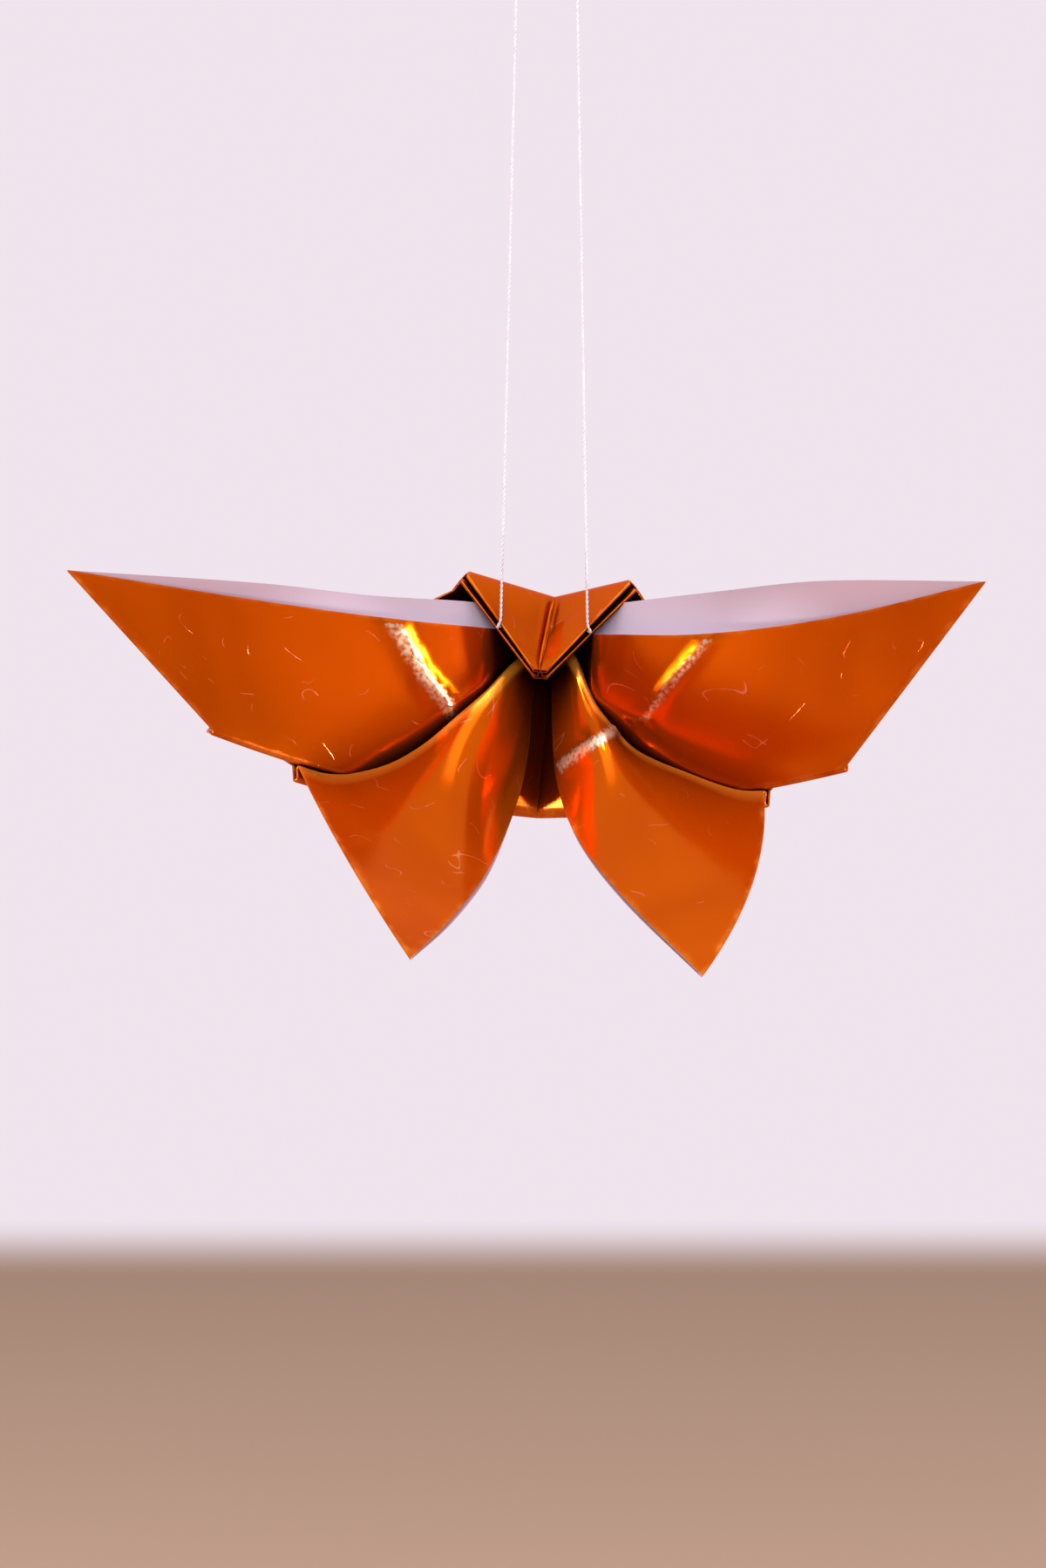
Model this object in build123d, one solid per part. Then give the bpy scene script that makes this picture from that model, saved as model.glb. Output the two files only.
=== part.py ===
from build123d import *
from dataclasses import dataclass
from math import cos, pi, sin
import os

# Hanging origami butterfly: one square of two-colour paper folded from a waterbomb base, on two threads.
# Millimetres. X runs along the wings, Y away from the viewer, Z up; the wings sweep forwards, towards -Y.
# The origin is the point midway between the two loops, from which the butterfly hangs.
# The sheet is walked as rings round its own centre, which is the tip of the head fold. Each ring crosses
# the eight sectors of the base in turn: rear and front layer of an upper wing, then back and front layer
# of a lower wing, on the left and then on the right.

SHEET_SIDE = 150.0
PAPER = 0.12

# On the flat sheet, how far the bottom fold and the wings' bottom corners lie from the centre.
FOLD_REACH = 45.2
CORNER_REACH = 54.2

# Distance of each paper layer from the innermost one, in the folds that all four layers share.
# Order: rear layer and front layer of the upper wing, outer layer and inner layer of the lower wing.
STACK_CENTRE = (0.0, 0.34, 0.78, 1.14)
STACK_HEAD_EDGE = (0.0, 0.36, 1.36, 1.72)
HEAD_BEND_CENTRE = 1.5
HEAD_BEND_EDGE = 0.55
HEAD_BACK_SPLAY = 0.4
BOTTOM_BEND_CENTRE = 0.35
BOTTOM_BEND_EDGE = 0.2
BOTTOM_LEAN = 0.55

# The head fold ends in a blunt tip, where the layers lie flat side by side.
TIP_HALF_WIDTH = 0.8
TIP_STACK = (0.0, 0.34, 1.1, 1.44)
TIP_INSET = 0.42

# How far folded edges stand out, at the middle line and at the sides, and how far their layers keep apart.
CENTRE_REACH = 0.16
EDGE_REACH = 0.5
CENTRE_GAP = 0.55
EDGE_GAP = 0.34
SHARPEST_MITRE = 0.55

# The lower wing's crease, which at the middle line has only a short tail of paper in front of it.
CREASE_LENGTH = 45.0
CREASE_BEND = 0.25
CREASE_LAYER_GAP = 0.32
CREASE_PACE = 0.92
FOLD_OPENING = 0.04
TUCK_TAIL = Vector(0, -0.5, -0.7)

# Share of the bottom fold, from the middle, that the narrower lower wing takes up, and where its crease
# starts to pass under the upper wing's bottom edge and has passed it.
LOWER_SHARE = 0.75
PASS_START = 0.50
PASS_END = 0.70
PASS_BACK = 0.45
PASS_DROP = 2.2
CREASE_PASS_FRONT = 0.3
CREASE_PASS_DROP = 1.35

# Rows of the sheet, by their share of the way down the riser, over an upper wing, up a lower wing's panel
# and down the lower wing.
RISER_SHARES = (0.25, 0.5, 0.75, 1.0)
UPPER_SHARES = (0.32, 0.64, 0.93, 0.945, 0.96, 0.97, 0.98, 0.99, 1.0)
PANEL_SHARES = (0.35, 0.7)
FALL_SHARES = (0.25, 0.5, 0.75, 1.0)

# The sheet's spokes, by their share of the bottom fold, and the spokes that round each folded edge.
COLUMNS = (0.0, 0.04, 0.10, 0.20, 0.32, 0.46, 0.60, 0.72, 0.80, 0.865, 0.93, 1.0)
SPOKES = len(COLUMNS)
EDGE_SPOKES = 3
HALF_RING = 4 * SPOKES + 3 * EDGE_SPOKES - 1
STEP = 0.02

# White twisted threads: each comes up from a stopper knot inside the head fold, round its side edge,
# and runs taut to a knot and a small loop.
THREAD = 0.4
THREAD_CLEARANCE = 0.1
THREAD_BEND = 0.4
THREAD_TUCK = 1.1
THREAD_TURN = 0.6
STOPPER_RADIUS = 0.3
LOOP_KNOT_RADIUS = 0.55
LOOP_RADIUS = 2.2
LOOP_KNOT_HEIGHT = 107.0

# A landmark is given by its shares of the sheet's side, across, away from the viewer and up.
UP = Vector(0, 0, 1)
BACK = Vector(0, 1, 0)


def at(across, away, up):
    """Landmark at these shares of the sheet's side from the middle of the body."""
    return Vector(across, away, up) * SHEET_SIDE


@dataclass
class Wing:
    """Where the folds and corners of one side of the butterfly stand."""

    side: int
    head_end: Vector
    corner: Vector
    bottom_sag: float
    tip: Vector
    rear_edge: list
    front_edge: list
    crease: list
    inner_edge: list
    back_edge_gap: float
    back_edge_slip: float
    riser_edge: list
    lower_tip: Vector
    lower_bulge: Vector
    thread_lean: float


HEAD_TIP = at(0.0153, -0.0753, 0.0947)
HEAD_CENTRE = at(0.0287, -0.0053, 0.1540)
BOTTOM_CENTRE = at(0.0133, 0.0013, -0.0213)
REAR_CENTRE = at(0.0287, -0.0007, 0.1580)
TUCK_CENTRE = at(0.0280, -0.0100, 0.1390)
FRONT_CENTRE = at(0.0280, -0.0193, 0.1347)
RISER_MIDDLE = at(0.0213, 0.0200, 0.0700)

LEFT = Wing(
    side=-1,
    head_end=at(-0.0507, -0.0640, 0.1793),
    corner=at(-0.2680, -0.1973, 0.0460),
    bottom_sag=1.6,
    tip=at(-0.3820, -0.2867, 0.1793),
    rear_edge=[at(-0.0487, -0.0667, 0.1640), at(-0.1333, -0.1200, 0.1667), at(-0.2233, -0.1787, 0.1740)],
    front_edge=[at(-0.0160, -0.0493, 0.1393), at(-0.0373, -0.0867, 0.1400), at(-0.1200, -0.1400, 0.1460),
                at(-0.2200, -0.1987, 0.1573)],
    crease=[at(-0.0080, -0.0520, 0.1053), at(-0.0293, -0.0733, 0.0820), at(-0.0553, -0.0907, 0.0587),
            at(-0.0853, -0.1067, 0.0327), at(-0.1153, -0.1213, 0.0147), at(-0.1507, -0.1260, 0.0050),
            at(-0.1760, -0.1393, 0.0047)],
    inner_edge=[at(0.0093, -0.0400, 0.0860), at(0.0040, -0.0600, 0.0307), at(-0.0060, -0.0973, -0.0160),
                at(-0.0300, -0.2000, -0.0733), at(-0.0600, -0.2867, -0.1133)],
    back_edge_gap=0.9,
    back_edge_slip=1.3,
    riser_edge=[at(-0.1433, -0.0653, 0.1233), at(-0.2267, -0.0973, 0.0700), at(-0.2733, -0.1300, 0.0533)],
    lower_tip=at(-0.0913, -0.3667, -0.1427),
    lower_bulge=at(-0.0107, -0.0147, 0.0040),
    thread_lean=2.1,
)

RIGHT = Wing(
    side=1,
    head_end=at(0.0960, -0.0707, 0.1707),
    corner=at(0.2760, -0.2240, 0.0140),
    bottom_sag=1.2,
    tip=at(0.3787, -0.3567, 0.1660),
    rear_edge=[at(0.0920, -0.0800, 0.1627), at(0.1733, -0.1567, 0.1687), at(0.2533, -0.2333, 0.1733)],
    front_edge=[at(0.0587, -0.0573, 0.1353), at(0.0693, -0.1013, 0.1333), at(0.1600, -0.1767, 0.1307),
                at(0.2633, -0.2600, 0.1413)],
    crease=[at(0.0440, -0.0533, 0.1133), at(0.0587, -0.0773, 0.0760), at(0.0693, -0.0920, 0.0587),
            at(0.0987, -0.1080, 0.0267), at(0.1460, -0.1307, 0.0053), at(0.1780, -0.1527, -0.0067),
            at(0.1933, -0.1620, -0.0100)],
    inner_edge=[at(0.0273, -0.0400, 0.0933), at(0.0273, -0.0600, 0.0520), at(0.0307, -0.1000, 0.0040),
                at(0.0453, -0.1733, -0.0433), at(0.0813, -0.2667, -0.0927)],
    back_edge_gap=0.8,
    back_edge_slip=0.9,
    riser_edge=[at(0.1633, -0.0773, 0.1033), at(0.2333, -0.1167, 0.0467), at(0.2767, -0.1533, 0.0267)],
    lower_tip=at(0.1447, -0.3800, -0.1560),
    lower_bulge=at(0.0120, -0.0160, 0.0027),
    thread_lean=-1.4,
)

# The part's origin, in the landmarks' frame.
HANGING_POINT = at(0.0213, -0.0827, 0.0) + UP * (LOOP_KNOT_HEIGHT + 2 * LOOP_RADIUS)


def mix(a, b, share):
    """Point or number at a share of the way from a to b."""
    return a * (1.0 - share) + b * share


def turn(start, end, share):
    """Unit direction at a share of the turn from start to end."""
    angle = start.get_angle(end) * pi / 180
    if angle < 1e-4:
        return start
    return start * (sin((1 - share) * angle) / sin(angle)) + end * (sin(share * angle) / sin(angle))


def along(points, share):
    """Point at a share of the length of a smooth curve through the points."""
    lengths = [(b - a).length for a, b in zip(points, points[1:])]
    distance = max(0.0, min(1.0, share)) * sum(lengths)
    span = 0
    while span < len(lengths) - 1 and distance > lengths[span]:
        distance -= lengths[span]
        span += 1
    local = distance / lengths[span]
    a, b = points[span], points[span + 1]
    chord = lengths[span]
    before = points[span - 1] if span else a * 2 - b
    after = points[span + 2] if span + 2 < len(points) else b * 2 - a
    leave = (b - before) * (chord / ((b - a).length + (a - before).length))
    arrive = (after - a) * (chord / ((after - b).length + (b - a).length))
    square, cube = local * local, local * local * local
    return (
        a * (2 * cube - 3 * square + 1)
        + leave * (cube - 2 * square + local)
        + b * (3 * square - 2 * cube)
        + arrive * (cube - square)
    )


def raw_share(u):
    """Share of the raw edge, from the middle, that the spoke through share u of the bottom fold reaches."""
    return CORNER_REACH * u / mix(FOLD_REACH, CORNER_REACH, u)


def bottom_bend(u):
    """Inner radius of the bottom fold at share u from the centre."""
    return mix(BOTTOM_BEND_CENTRE, BOTTOM_BEND_EDGE, u)


def head_normal(wing):
    """Direction in which the head fold faces."""
    slope = HEAD_CENTRE - HEAD_TIP
    across = wing.head_end - HEAD_CENTRE
    face = slope.cross(across).normalized()
    return face if face.Y < 0 else face * -1


def bottom_axis(wing, u):
    """Middle of the bottom fold at share u from the centre."""
    sag = UP * (-wing.bottom_sag * 4 * u * (1 - u))
    return mix(BOTTOM_CENTRE, wing.corner, u) + sag


def front_normal(wing):
    """Horizontal direction in which the front of one side faces."""
    run = wing.corner - BOTTOM_CENTRE
    face = Vector(run.Y, -run.X, 0).normalized()
    return face if face.Y < 0 else face * -1


def bottom_start(wing, across):
    """Direction out of the back of the bottom fold where the riser comes into it."""
    return turn(front_normal(wing) * -1, UP * -1, BOTTOM_LEAN * across)


def stack(layer, u, head):
    """Distance of a layer from the innermost one, in the head fold or in the bottom fold."""
    edge = STACK_HEAD_EDGE if head else STACK_CENTRE
    return mix(STACK_CENTRE[layer], edge[layer], u)


def spread(layer, u, width):
    """Share u of a row that is width wide, with the tucked layers held clear of the middle line."""
    start = CENTRE_GAP / width if layer in (1, 2) else 0.0
    return mix(start, 1.0, u)


def mitred(layer, u, run, offset):
    """Share u of a row that follows the run, begun where the offset row meets the other side's."""
    start = -offset.X / run.X
    if layer in (1, 2):
        start += CENTRE_GAP / run.length
    return mix(start, 1.0, u)


def tip_frame():
    """Direction up the middle of the head fold, across it and out of its face."""
    rise = (HEAD_CENTRE - HEAD_TIP).normalized()
    across = (Vector(1, 0, 0) - rise * rise.X).normalized()
    return rise, across, rise.cross(across) * -1


def tip_point(wing, layer, u):
    """Point of the blunt tip, where the folded layers end flat side by side."""
    rise, across, face = tip_frame()
    inset = TIP_INSET if layer in (1, 2) else 0.0
    reach = wing.side * mix(inset, TIP_HALF_WIDTH, u)
    return HEAD_TIP + across * reach + face * TIP_STACK[layer]


def head_back(wing):
    """Direction in which the riser faces where it comes down from the head fold."""
    return (BACK - front_normal(wing) * HEAD_BACK_SPLAY).normalized()


def head_rings(wing, layer, u):
    """Points of a spoke from the blunt head tip up and over the top of the head fold."""
    face, behind = head_normal(wing), head_back(wing)
    middle = (face + behind).normalized()
    run = wing.head_end - HEAD_CENTRE
    points = [tip_point(wing, layer, u)]
    directions = [turn(face, middle, share) for share in (0.0, 0.5)]
    directions += [turn(middle, behind, share) for share in (0.0, 0.5, 1.0)]
    for direction in directions:
        local = mitred(layer, u, run, direction * (HEAD_BEND_CENTRE + STACK_CENTRE[layer]))
        spread_out = max(0.0, local)
        radius = mix(HEAD_BEND_CENTRE, HEAD_BEND_EDGE, spread_out) + stack(layer, spread_out, True)
        points.append(HEAD_CENTRE + run * local + direction * radius)
    points.insert(1, mix(points[0], points[1], 0.5))
    return points


def riser_route(wing, across, share):
    """Point of the riser's route, at a share across from the middle and a share of the way down."""
    centre = along([HEAD_CENTRE, RISER_MIDDLE, BOTTOM_CENTRE], share)
    edge = along([wing.head_end, *wing.riser_edge, wing.corner], share)
    sag = UP * (-wing.bottom_sag * 4 * across * (1 - across) * share)
    return mix(centre, edge, across) + sag


def riser_normal(wing, across, share):
    """Direction out of the back of the riser."""
    behind = turn(head_back(wing), bottom_start(wing, max(0.0, across)), share)
    level = riser_route(wing, across + STEP, share) - riser_route(wing, across - STEP, share)
    down = riser_route(wing, across, share + STEP) - riser_route(wing, across, share - STEP)
    normal = level.cross(down).normalized()
    normal = normal if normal.dot(behind) > 0 else normal * -1
    return turn(behind, normal, sin(pi * share) ** 0.5)


def bottom_share(layer, share):
    """How much of the row a layer takes up, at a share of the way down the riser."""
    return mix(1.0, LOWER_SHARE, share) if layer > 1 else 1.0


def passed(across):
    """How far the lower wing's layers have passed under the upper wing's bottom edge, from 0 to 1."""
    return max(0.0, min(1.0, (across - PASS_START) / (PASS_END - PASS_START)))


def riser_rings(wing, layer, u):
    """Points of a spoke down the riser, from the head fold to the bottom fold."""
    points = []
    for share in RISER_SHARES:
        run = (riser_route(wing, 1.0, share) - riser_route(wing, 0.0, share)) * bottom_share(layer, share)
        inner = mix(HEAD_BEND_CENTRE, BOTTOM_BEND_CENTRE, share) + STACK_CENTRE[layer]
        across = mitred(layer, u, run, riser_normal(wing, 0.0, share) * inner) * bottom_share(layer, share)
        local = max(0.0, across)
        bend = mix(mix(HEAD_BEND_CENTRE, HEAD_BEND_EDGE, local), bottom_bend(local), share)
        offset = bend + mix(stack(layer, local, True), stack(layer, local, False), share)
        points.append(riser_route(wing, across, share) + riser_normal(wing, across, share) * offset)
    return points


def bottom_rings(wing, layer, u):
    """Points of a spoke round the bottom fold, from behind to the front."""
    front = front_normal(wing)
    down = UP * -1
    width = bottom_share(layer, 1.0)
    run = (wing.corner - BOTTOM_CENTRE) * width
    inner = BOTTOM_BEND_CENTRE + STACK_CENTRE[layer]
    points = []
    for leans, aims, share in ((True, down, 0.6), (False, front, 0.15), (False, front, 1.0)):
        begins = front * -1 if leans else down
        across = mitred(layer, u, run, turn(begins, aims, share) * inner) * width
        local = max(0.0, across)
        begins = bottom_start(wing, local) if leans else down
        radius = bottom_bend(local) + stack(layer, local, False)
        axis = bottom_axis(wing, across)
        if layer > 1:
            # Past the upper wing's bottom edge, these layers fold below it instead of round it.
            below = passed(local)
            axis = axis + (front * -PASS_BACK - UP * PASS_DROP) * below
            radius = radius - (STACK_CENTRE[2] - PAPER) * below
        points.append(axis + turn(begins, aims, share) * radius)
    return points


def upper_raw_point(wing, layer, u):
    """Where a spoke of the upper wing meets the raw edge."""
    centre = REAR_CENTRE if layer == 0 else TUCK_CENTRE
    edge = wing.rear_edge if layer == 0 else wing.front_edge
    apart = front_normal(wing) * (0.0 if layer == 0 else EDGE_GAP)
    return along([centre, *edge, wing.tip + apart], raw_share(spread(layer, u, SHEET_SIDE / 2)))


def crease_axis(wing, u):
    """Middle of the lower wing's crease at share u."""
    end = bottom_axis(wing, LOWER_SHARE) + front_normal(wing) * CREASE_PASS_FRONT - UP * CREASE_PASS_DROP
    return along([FRONT_CENTRE, *wing.crease, end], max(0.0, u) ** CREASE_PACE)


def lower_frame(wing, u):
    """Directions up the panel, down the wing, along its crease and out of the wing's front."""
    u = max(2 * STEP, u)
    axis = crease_axis(wing, u)
    foot = bottom_rings(wing, 3, u)[-1]
    raw = along([FRONT_CENTRE, *wing.inner_edge, wing.lower_tip], raw_share(u))
    rise = (axis - foot).normalized()
    fall = (raw - axis).normalized()
    line = (crease_axis(wing, u + STEP / 2) - crease_axis(wing, u - 3 * STEP / 2)).normalized()
    front = front_normal(wing)
    wing_side = fall.cross(line).normalized()
    wing_side = wing_side if wing_side.dot(front) > 0 else wing_side * -1
    panel_side = rise.cross(line).normalized()
    panel_side = panel_side if panel_side.dot(front) < 0 else panel_side * -1
    panel_side = turn(panel_side, front * -1, passed(u * LOWER_SHARE))
    over = (rise - fall).normalized()
    over = turn((over - line * over.dot(line)).normalized(), UP, passed(u * LOWER_SHARE))
    return panel_side, over, wing_side


def lower_raw_point(wing, layer, u):
    """Where a spoke of the lower wing meets the raw edge. Layer 2 is the wing's front, layer 3 its back."""
    route = [FRONT_CENTRE, *wing.inner_edge, wing.lower_tip]
    share = raw_share(spread(layer, u, SHEET_SIDE / 2))
    point = along(route, share)
    edge = (along(route, share + STEP) - along(route, share - STEP)).normalized()
    apart = max(FOLD_OPENING, u)
    fall = (along(route, raw_share(apart)) - crease_axis(wing, apart)).normalized()
    normal = edge.cross(fall).normalized()
    normal = normal if normal.dot(lower_frame(wing, u)[2]) > 0 else normal * -1
    if layer == 2:
        return point + normal * (CREASE_LAYER_GAP * 0.5)
    # The back layer stands off a little and shows as a thin line past the front one's edge.
    outwards = edge.cross(normal)
    outwards = outwards if outwards.dot(fall) > 0 else outwards * -1
    gap = mix(CREASE_LAYER_GAP * 0.5, wing.back_edge_gap, 4 * share * (1 - share))
    return point - normal * gap + outwards * (wing.back_edge_slip * sin(pi * share))


def lower_wing_rings(wing, layer, u):
    """Points of a spoke of the lower wing: its panel, its crease and the wing itself down to the raw edge."""
    radius = CREASE_BEND + (CREASE_LAYER_GAP if layer == 2 else 0.0)
    foot = bottom_rings(wing, layer, u)[-1]
    local = spread(layer, u, CREASE_LENGTH)
    axis = crease_axis(wing, local)
    panel_side, over, wing_side = lower_frame(wing, local)
    # At the middle line the sheet ends on the crease, so the fold opens out from there.
    opened = min(1.0, u / FOLD_OPENING)
    end = turn(over, wing_side, opened)
    crease = [axis + direction * radius for direction in (panel_side, turn(panel_side, end, 0.5), end)]
    raw = mix(crease[-1] + TUCK_TAIL, lower_raw_point(wing, layer, u), opened)
    panel = [mix(foot, crease[0], share) for share in PANEL_SHARES]
    bulge = wing.lower_bulge * (4 * u * (1 - u))
    fall = [mix(crease[-1], raw, share) + bulge * (4 * share * (1 - share)) for share in FALL_SHARES]
    return panel + crease + fall


def spoke(wing, layer, u):
    """All the points of one spoke, from the head tip to the raw edge."""
    points = head_rings(wing, layer, u) + riser_rings(wing, layer, u)
    if layer < 2:
        points += bottom_rings(wing, layer, u)
        foot, raw = points[-1], upper_raw_point(wing, layer, u)
        return points + [mix(foot, raw, share) for share in UPPER_SHARES]
    return points + bottom_rings(wing, layer, u) + lower_wing_rings(wing, layer, u)


def edge_columns(first, second, inside, longest):
    """Spokes round a folded edge that joins two layers, which stand out by the longest reach at most."""
    columns = []
    for place in range(EDGE_SPOKES):
        angle = pi * (place + 1) / (EDGE_SPOKES + 1)
        column = []
        for a, b, near in zip(first, second, inside):
            middle = mix(a, b, (1 - cos(angle)) / 2)
            reach = min((b - a).length * 0.5, longest) * sin(angle)
            column.append(middle + (a - near).normalized() * reach)
        columns.append(column)
    return columns


def side_columns(wing):
    """Spokes of one side, from the rear middle line out and back four times to the front middle line."""
    rear = [spoke(wing, 0, u) for u in COLUMNS]
    front = [spoke(wing, 1, u) for u in COLUMNS]
    outer = [spoke(wing, 2, u) for u in COLUMNS]
    inner = [spoke(wing, 3, u) for u in COLUMNS]
    columns = list(rear)
    columns += edge_columns(rear[-1], front[-1], rear[-2], EDGE_REACH)
    columns += front[::-1]
    columns += edge_columns(front[0], outer[0], front[1], CENTRE_REACH)
    columns += outer
    columns += edge_columns(outer[-1], inner[-1], outer[-2], EDGE_REACH)
    columns += inner[::-1]
    return columns


def sheet_grid():
    """Closed grid of the sheet's middle surface, as rings of points from the head tip outwards."""
    left, right = side_columns(LEFT), side_columns(RIGHT)
    rear_centre = [mix(a, b, 0.5) for a, b in zip(left[0], right[0])]
    front_centre = [mix(a, b, 0.5) for a, b in zip(left[-1], right[-1])]
    columns = [rear_centre, *left[1:-1], front_centre, *right[-2:0:-1]]
    return [list(ring) for ring in zip(*columns)]


def skins(rings):
    """The coloured and the white skin, half a paper thickness on each side of the middle surface."""
    colour, white = [], []
    count = len(rings[0])
    rise = tip_frame()[0]
    for row, ring in enumerate(rings):
        below, above = rings[max(row - 1, 0)], rings[min(row + 1, len(rings) - 1)]
        colour_ring, white_ring = [], []
        for column, point in enumerate(ring):
            left, right = ring[column - 1], ring[(column + 1) % count]
            before = below[column] if row else point - rise
            after = above[column] if row else point + rise
            normal = vertex_normal(point, left, right, before, after)
            colour_ring.append(point + normal * (PAPER / 2))
            white_ring.append(point - normal * (PAPER / 2))
        colour.append(colour_ring)
        white.append(white_ring)
    return colour, white


def vertex_normal(point, left, right, below, above):
    """Normal of the four facets round a point, lengthened so that each facet keeps its thickness."""
    along_ring = ((point - left).normalized() + (right - point).normalized())
    outwards = Vector(0, 0, 0)
    for step in (point - below, above - point):
        if step.length > 1e-6:
            outwards = outwards + step.normalized()
    normal = along_ring.cross(outwards).normalized()
    first = (point - left).cross(outwards).normalized()
    return normal / max(SHARPEST_MITRE, abs(first.dot(normal)))


def leans_forward(column):
    """Whether a cell is split from its inner ring at this column to its outer ring at the next one."""
    sector = (column % HALF_RING + EDGE_SPOKES - 1) // (SPOKES + EDGE_SPOKES)
    return sector % 2 == 0


def flat_face(*corners):
    """Flat face between corners."""
    return Face(Wire.make_polygon(corners, close=True))


def folded_sheet():
    """The folded square as one closed solid: out along the coloured skin and back along the white one."""
    rings = sheet_grid()
    colour, white = skins(rings)
    rise = tip_frame()[0]
    level = HEAD_TIP.dot(rise)
    colour[0] = [point - rise * (point.dot(rise) - level) for point in colour[0]]
    white[0] = [point - rise * (point.dot(rise) - level - PAPER) for point in white[0]]
    rings = colour + white[::-1]
    count = len(rings[0])
    faces = [flat_face(*rings[0])]
    for row, (near, far) in enumerate(zip(rings, rings[1:])):
        for column in range(count):
            after = (column + 1) % count
            cell = (near[column], near[after], far[after], far[column])
            if leans_forward(column) == (row < len(colour)):
                faces += [flat_face(cell[0], cell[1], cell[2]), flat_face(cell[0], cell[2], cell[3])]
            else:
                faces += [flat_face(cell[0], cell[1], cell[3]), flat_face(cell[1], cell[2], cell[3])]
    faces.append(flat_face(*rings[-1]))
    return Solid(Shell(faces))


def head_edge_point(wing):
    """Middle of the front folded edge of the head fold, half way up, with the directions that frame it."""
    outer, inner = spoke(wing, 2, 1.0), spoke(wing, 3, 1.0)
    point = mix(outer[1], inner[1], 0.5)
    face = (inner[1] - outer[1]).normalized()
    edge = (outer[2] - outer[0]).normalized()
    away = edge.cross(face).normalized()
    away = away if away.Z < 0 else away * -1
    gap = (outer[1] - spoke(wing, 1, 1.0)[1]).length
    half_pair = (inner[1] - outer[1]).length / 2
    return point, face, away, half_pair, half_pair + gap / 2


def thread_route(wing):
    """Corners of a thread's path, from the knot under its loop down to the stopper knot in the fold."""
    point, face, away, half_pair, gap_depth = head_edge_point(wing)
    clear = half_pair + PAPER / 2 + THREAD / 2 + THREAD_CLEARANCE
    front = point + face * clear + away * (THREAD_TURN * clear)
    beside = point + away * (clear + THREAD / 2)
    below = beside - face * gap_depth
    inside = point - face * gap_depth - away * THREAD_TUCK
    top = Vector(front.X + wing.thread_lean, front.Y, LOOP_KNOT_HEIGHT)
    return [top, front, beside, below, inside]


def thread(wing):
    """One thread with its loop, its loop knot and its stopper knot, as one solid."""
    route = thread_route(wing)
    path = FilletPolyline(*route, radius=[THREAD_BEND] * 3)
    tube = sweep(Plane(origin=path @ 0, z_dir=path % 0) * Circle(THREAD / 2), path)
    centre = route[0] + UP * LOOP_RADIUS
    loop = Location(centre, (90, 0, 0)) * Solid.make_torus(LOOP_RADIUS, THREAD / 2)
    loop_knot = Location(route[0]) * Solid.make_sphere(LOOP_KNOT_RADIUS, angle1=-90)
    stopper = Location(route[-1]) * Solid.make_sphere(STOPPER_RADIUS, angle1=-90)
    print("thread length to the loop knot", round(path.length, 1), "mm")
    return tube.fuse(loop_knot, stopper, loop)


def main():
    """Build the sheet and its threads, and write one STEP file for each."""
    os.makedirs("parts", exist_ok=True)
    shapes = {"folded_sheet": folded_sheet(), "thread_left": thread(LEFT), "thread_right": thread(RIGHT)}
    for name, shape in shapes.items():
        placed = shape.moved(Location(HANGING_POINT * -1))
        print(name, "volume", round(placed.volume, 2), "valid", placed.is_valid)
        export_step(placed, f"parts/{name}.step")


if __name__ == "__main__":
    main()
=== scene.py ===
"""Hanging origami butterfly: one folded sheet of two-colour paper on two white threads."""

import logging
from dataclasses import dataclass, field
from enum import IntEnum
from math import cos, exp, pi, radians, sin

import bpy
from bpy.types import Material, Mesh, Node, NodeSocket, NodeTree, Object
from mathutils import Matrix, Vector


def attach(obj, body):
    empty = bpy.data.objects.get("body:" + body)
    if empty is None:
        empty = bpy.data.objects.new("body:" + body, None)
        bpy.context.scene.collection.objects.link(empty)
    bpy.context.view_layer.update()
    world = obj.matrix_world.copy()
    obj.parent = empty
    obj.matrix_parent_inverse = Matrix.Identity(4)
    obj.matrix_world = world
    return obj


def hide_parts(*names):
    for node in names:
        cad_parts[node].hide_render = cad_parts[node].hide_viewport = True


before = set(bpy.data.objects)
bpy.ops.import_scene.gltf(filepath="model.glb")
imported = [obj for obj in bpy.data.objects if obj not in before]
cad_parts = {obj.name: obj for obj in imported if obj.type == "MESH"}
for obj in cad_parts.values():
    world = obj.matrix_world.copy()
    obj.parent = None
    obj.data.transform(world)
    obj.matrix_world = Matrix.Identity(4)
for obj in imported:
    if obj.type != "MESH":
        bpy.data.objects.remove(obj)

log = logging.getLogger("butterfly")

# Lengths are in millimetres, as the paper is folded; model_point() turns them into the model's metres.
MM = 0.001
SHEET_SIDE = 150.0
PAPER = 0.12
UP = Vector((0.0, 0.0, 1.0))
DOWN = Vector((0.0, 0.0, -1.0))
BACK = Vector((0.0, 1.0, 0.0))
AHEAD = Vector((0.0, -1.0, 0.0))

# The photograph: its middle, how much of the object a pixel covers at the body, and the viewer's distance.
PHOTO_MIDDLE = (600.0, 900.0)
PIXEL = 0.12
VIEWER = 500.0

# A turn too small to tell its direction, a step too short to have one, and the least lift of the paper.
LEAST_TURN = 1e-4
LEAST_STEP = 1e-6
LEAST_LIFT = 1e-3

# Angle of one sector of the flat sheet, and the angle between two faces from which their edge is sharp.
SECTOR = radians(45)
SHARP = radians(50)

COAT_ROUGHNESS = 0.07


def at(across: float, away: float, up: float) -> Vector:
    """Give the landmark at these shares of the sheet's side from the middle of the body."""
    return Vector((across, away, up)) * SHEET_SIDE


def trail(*places: tuple) -> list[Vector]:
    """Give the landmarks at several places, in shares of the sheet's side."""
    return [at(*place) for place in places]


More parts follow.
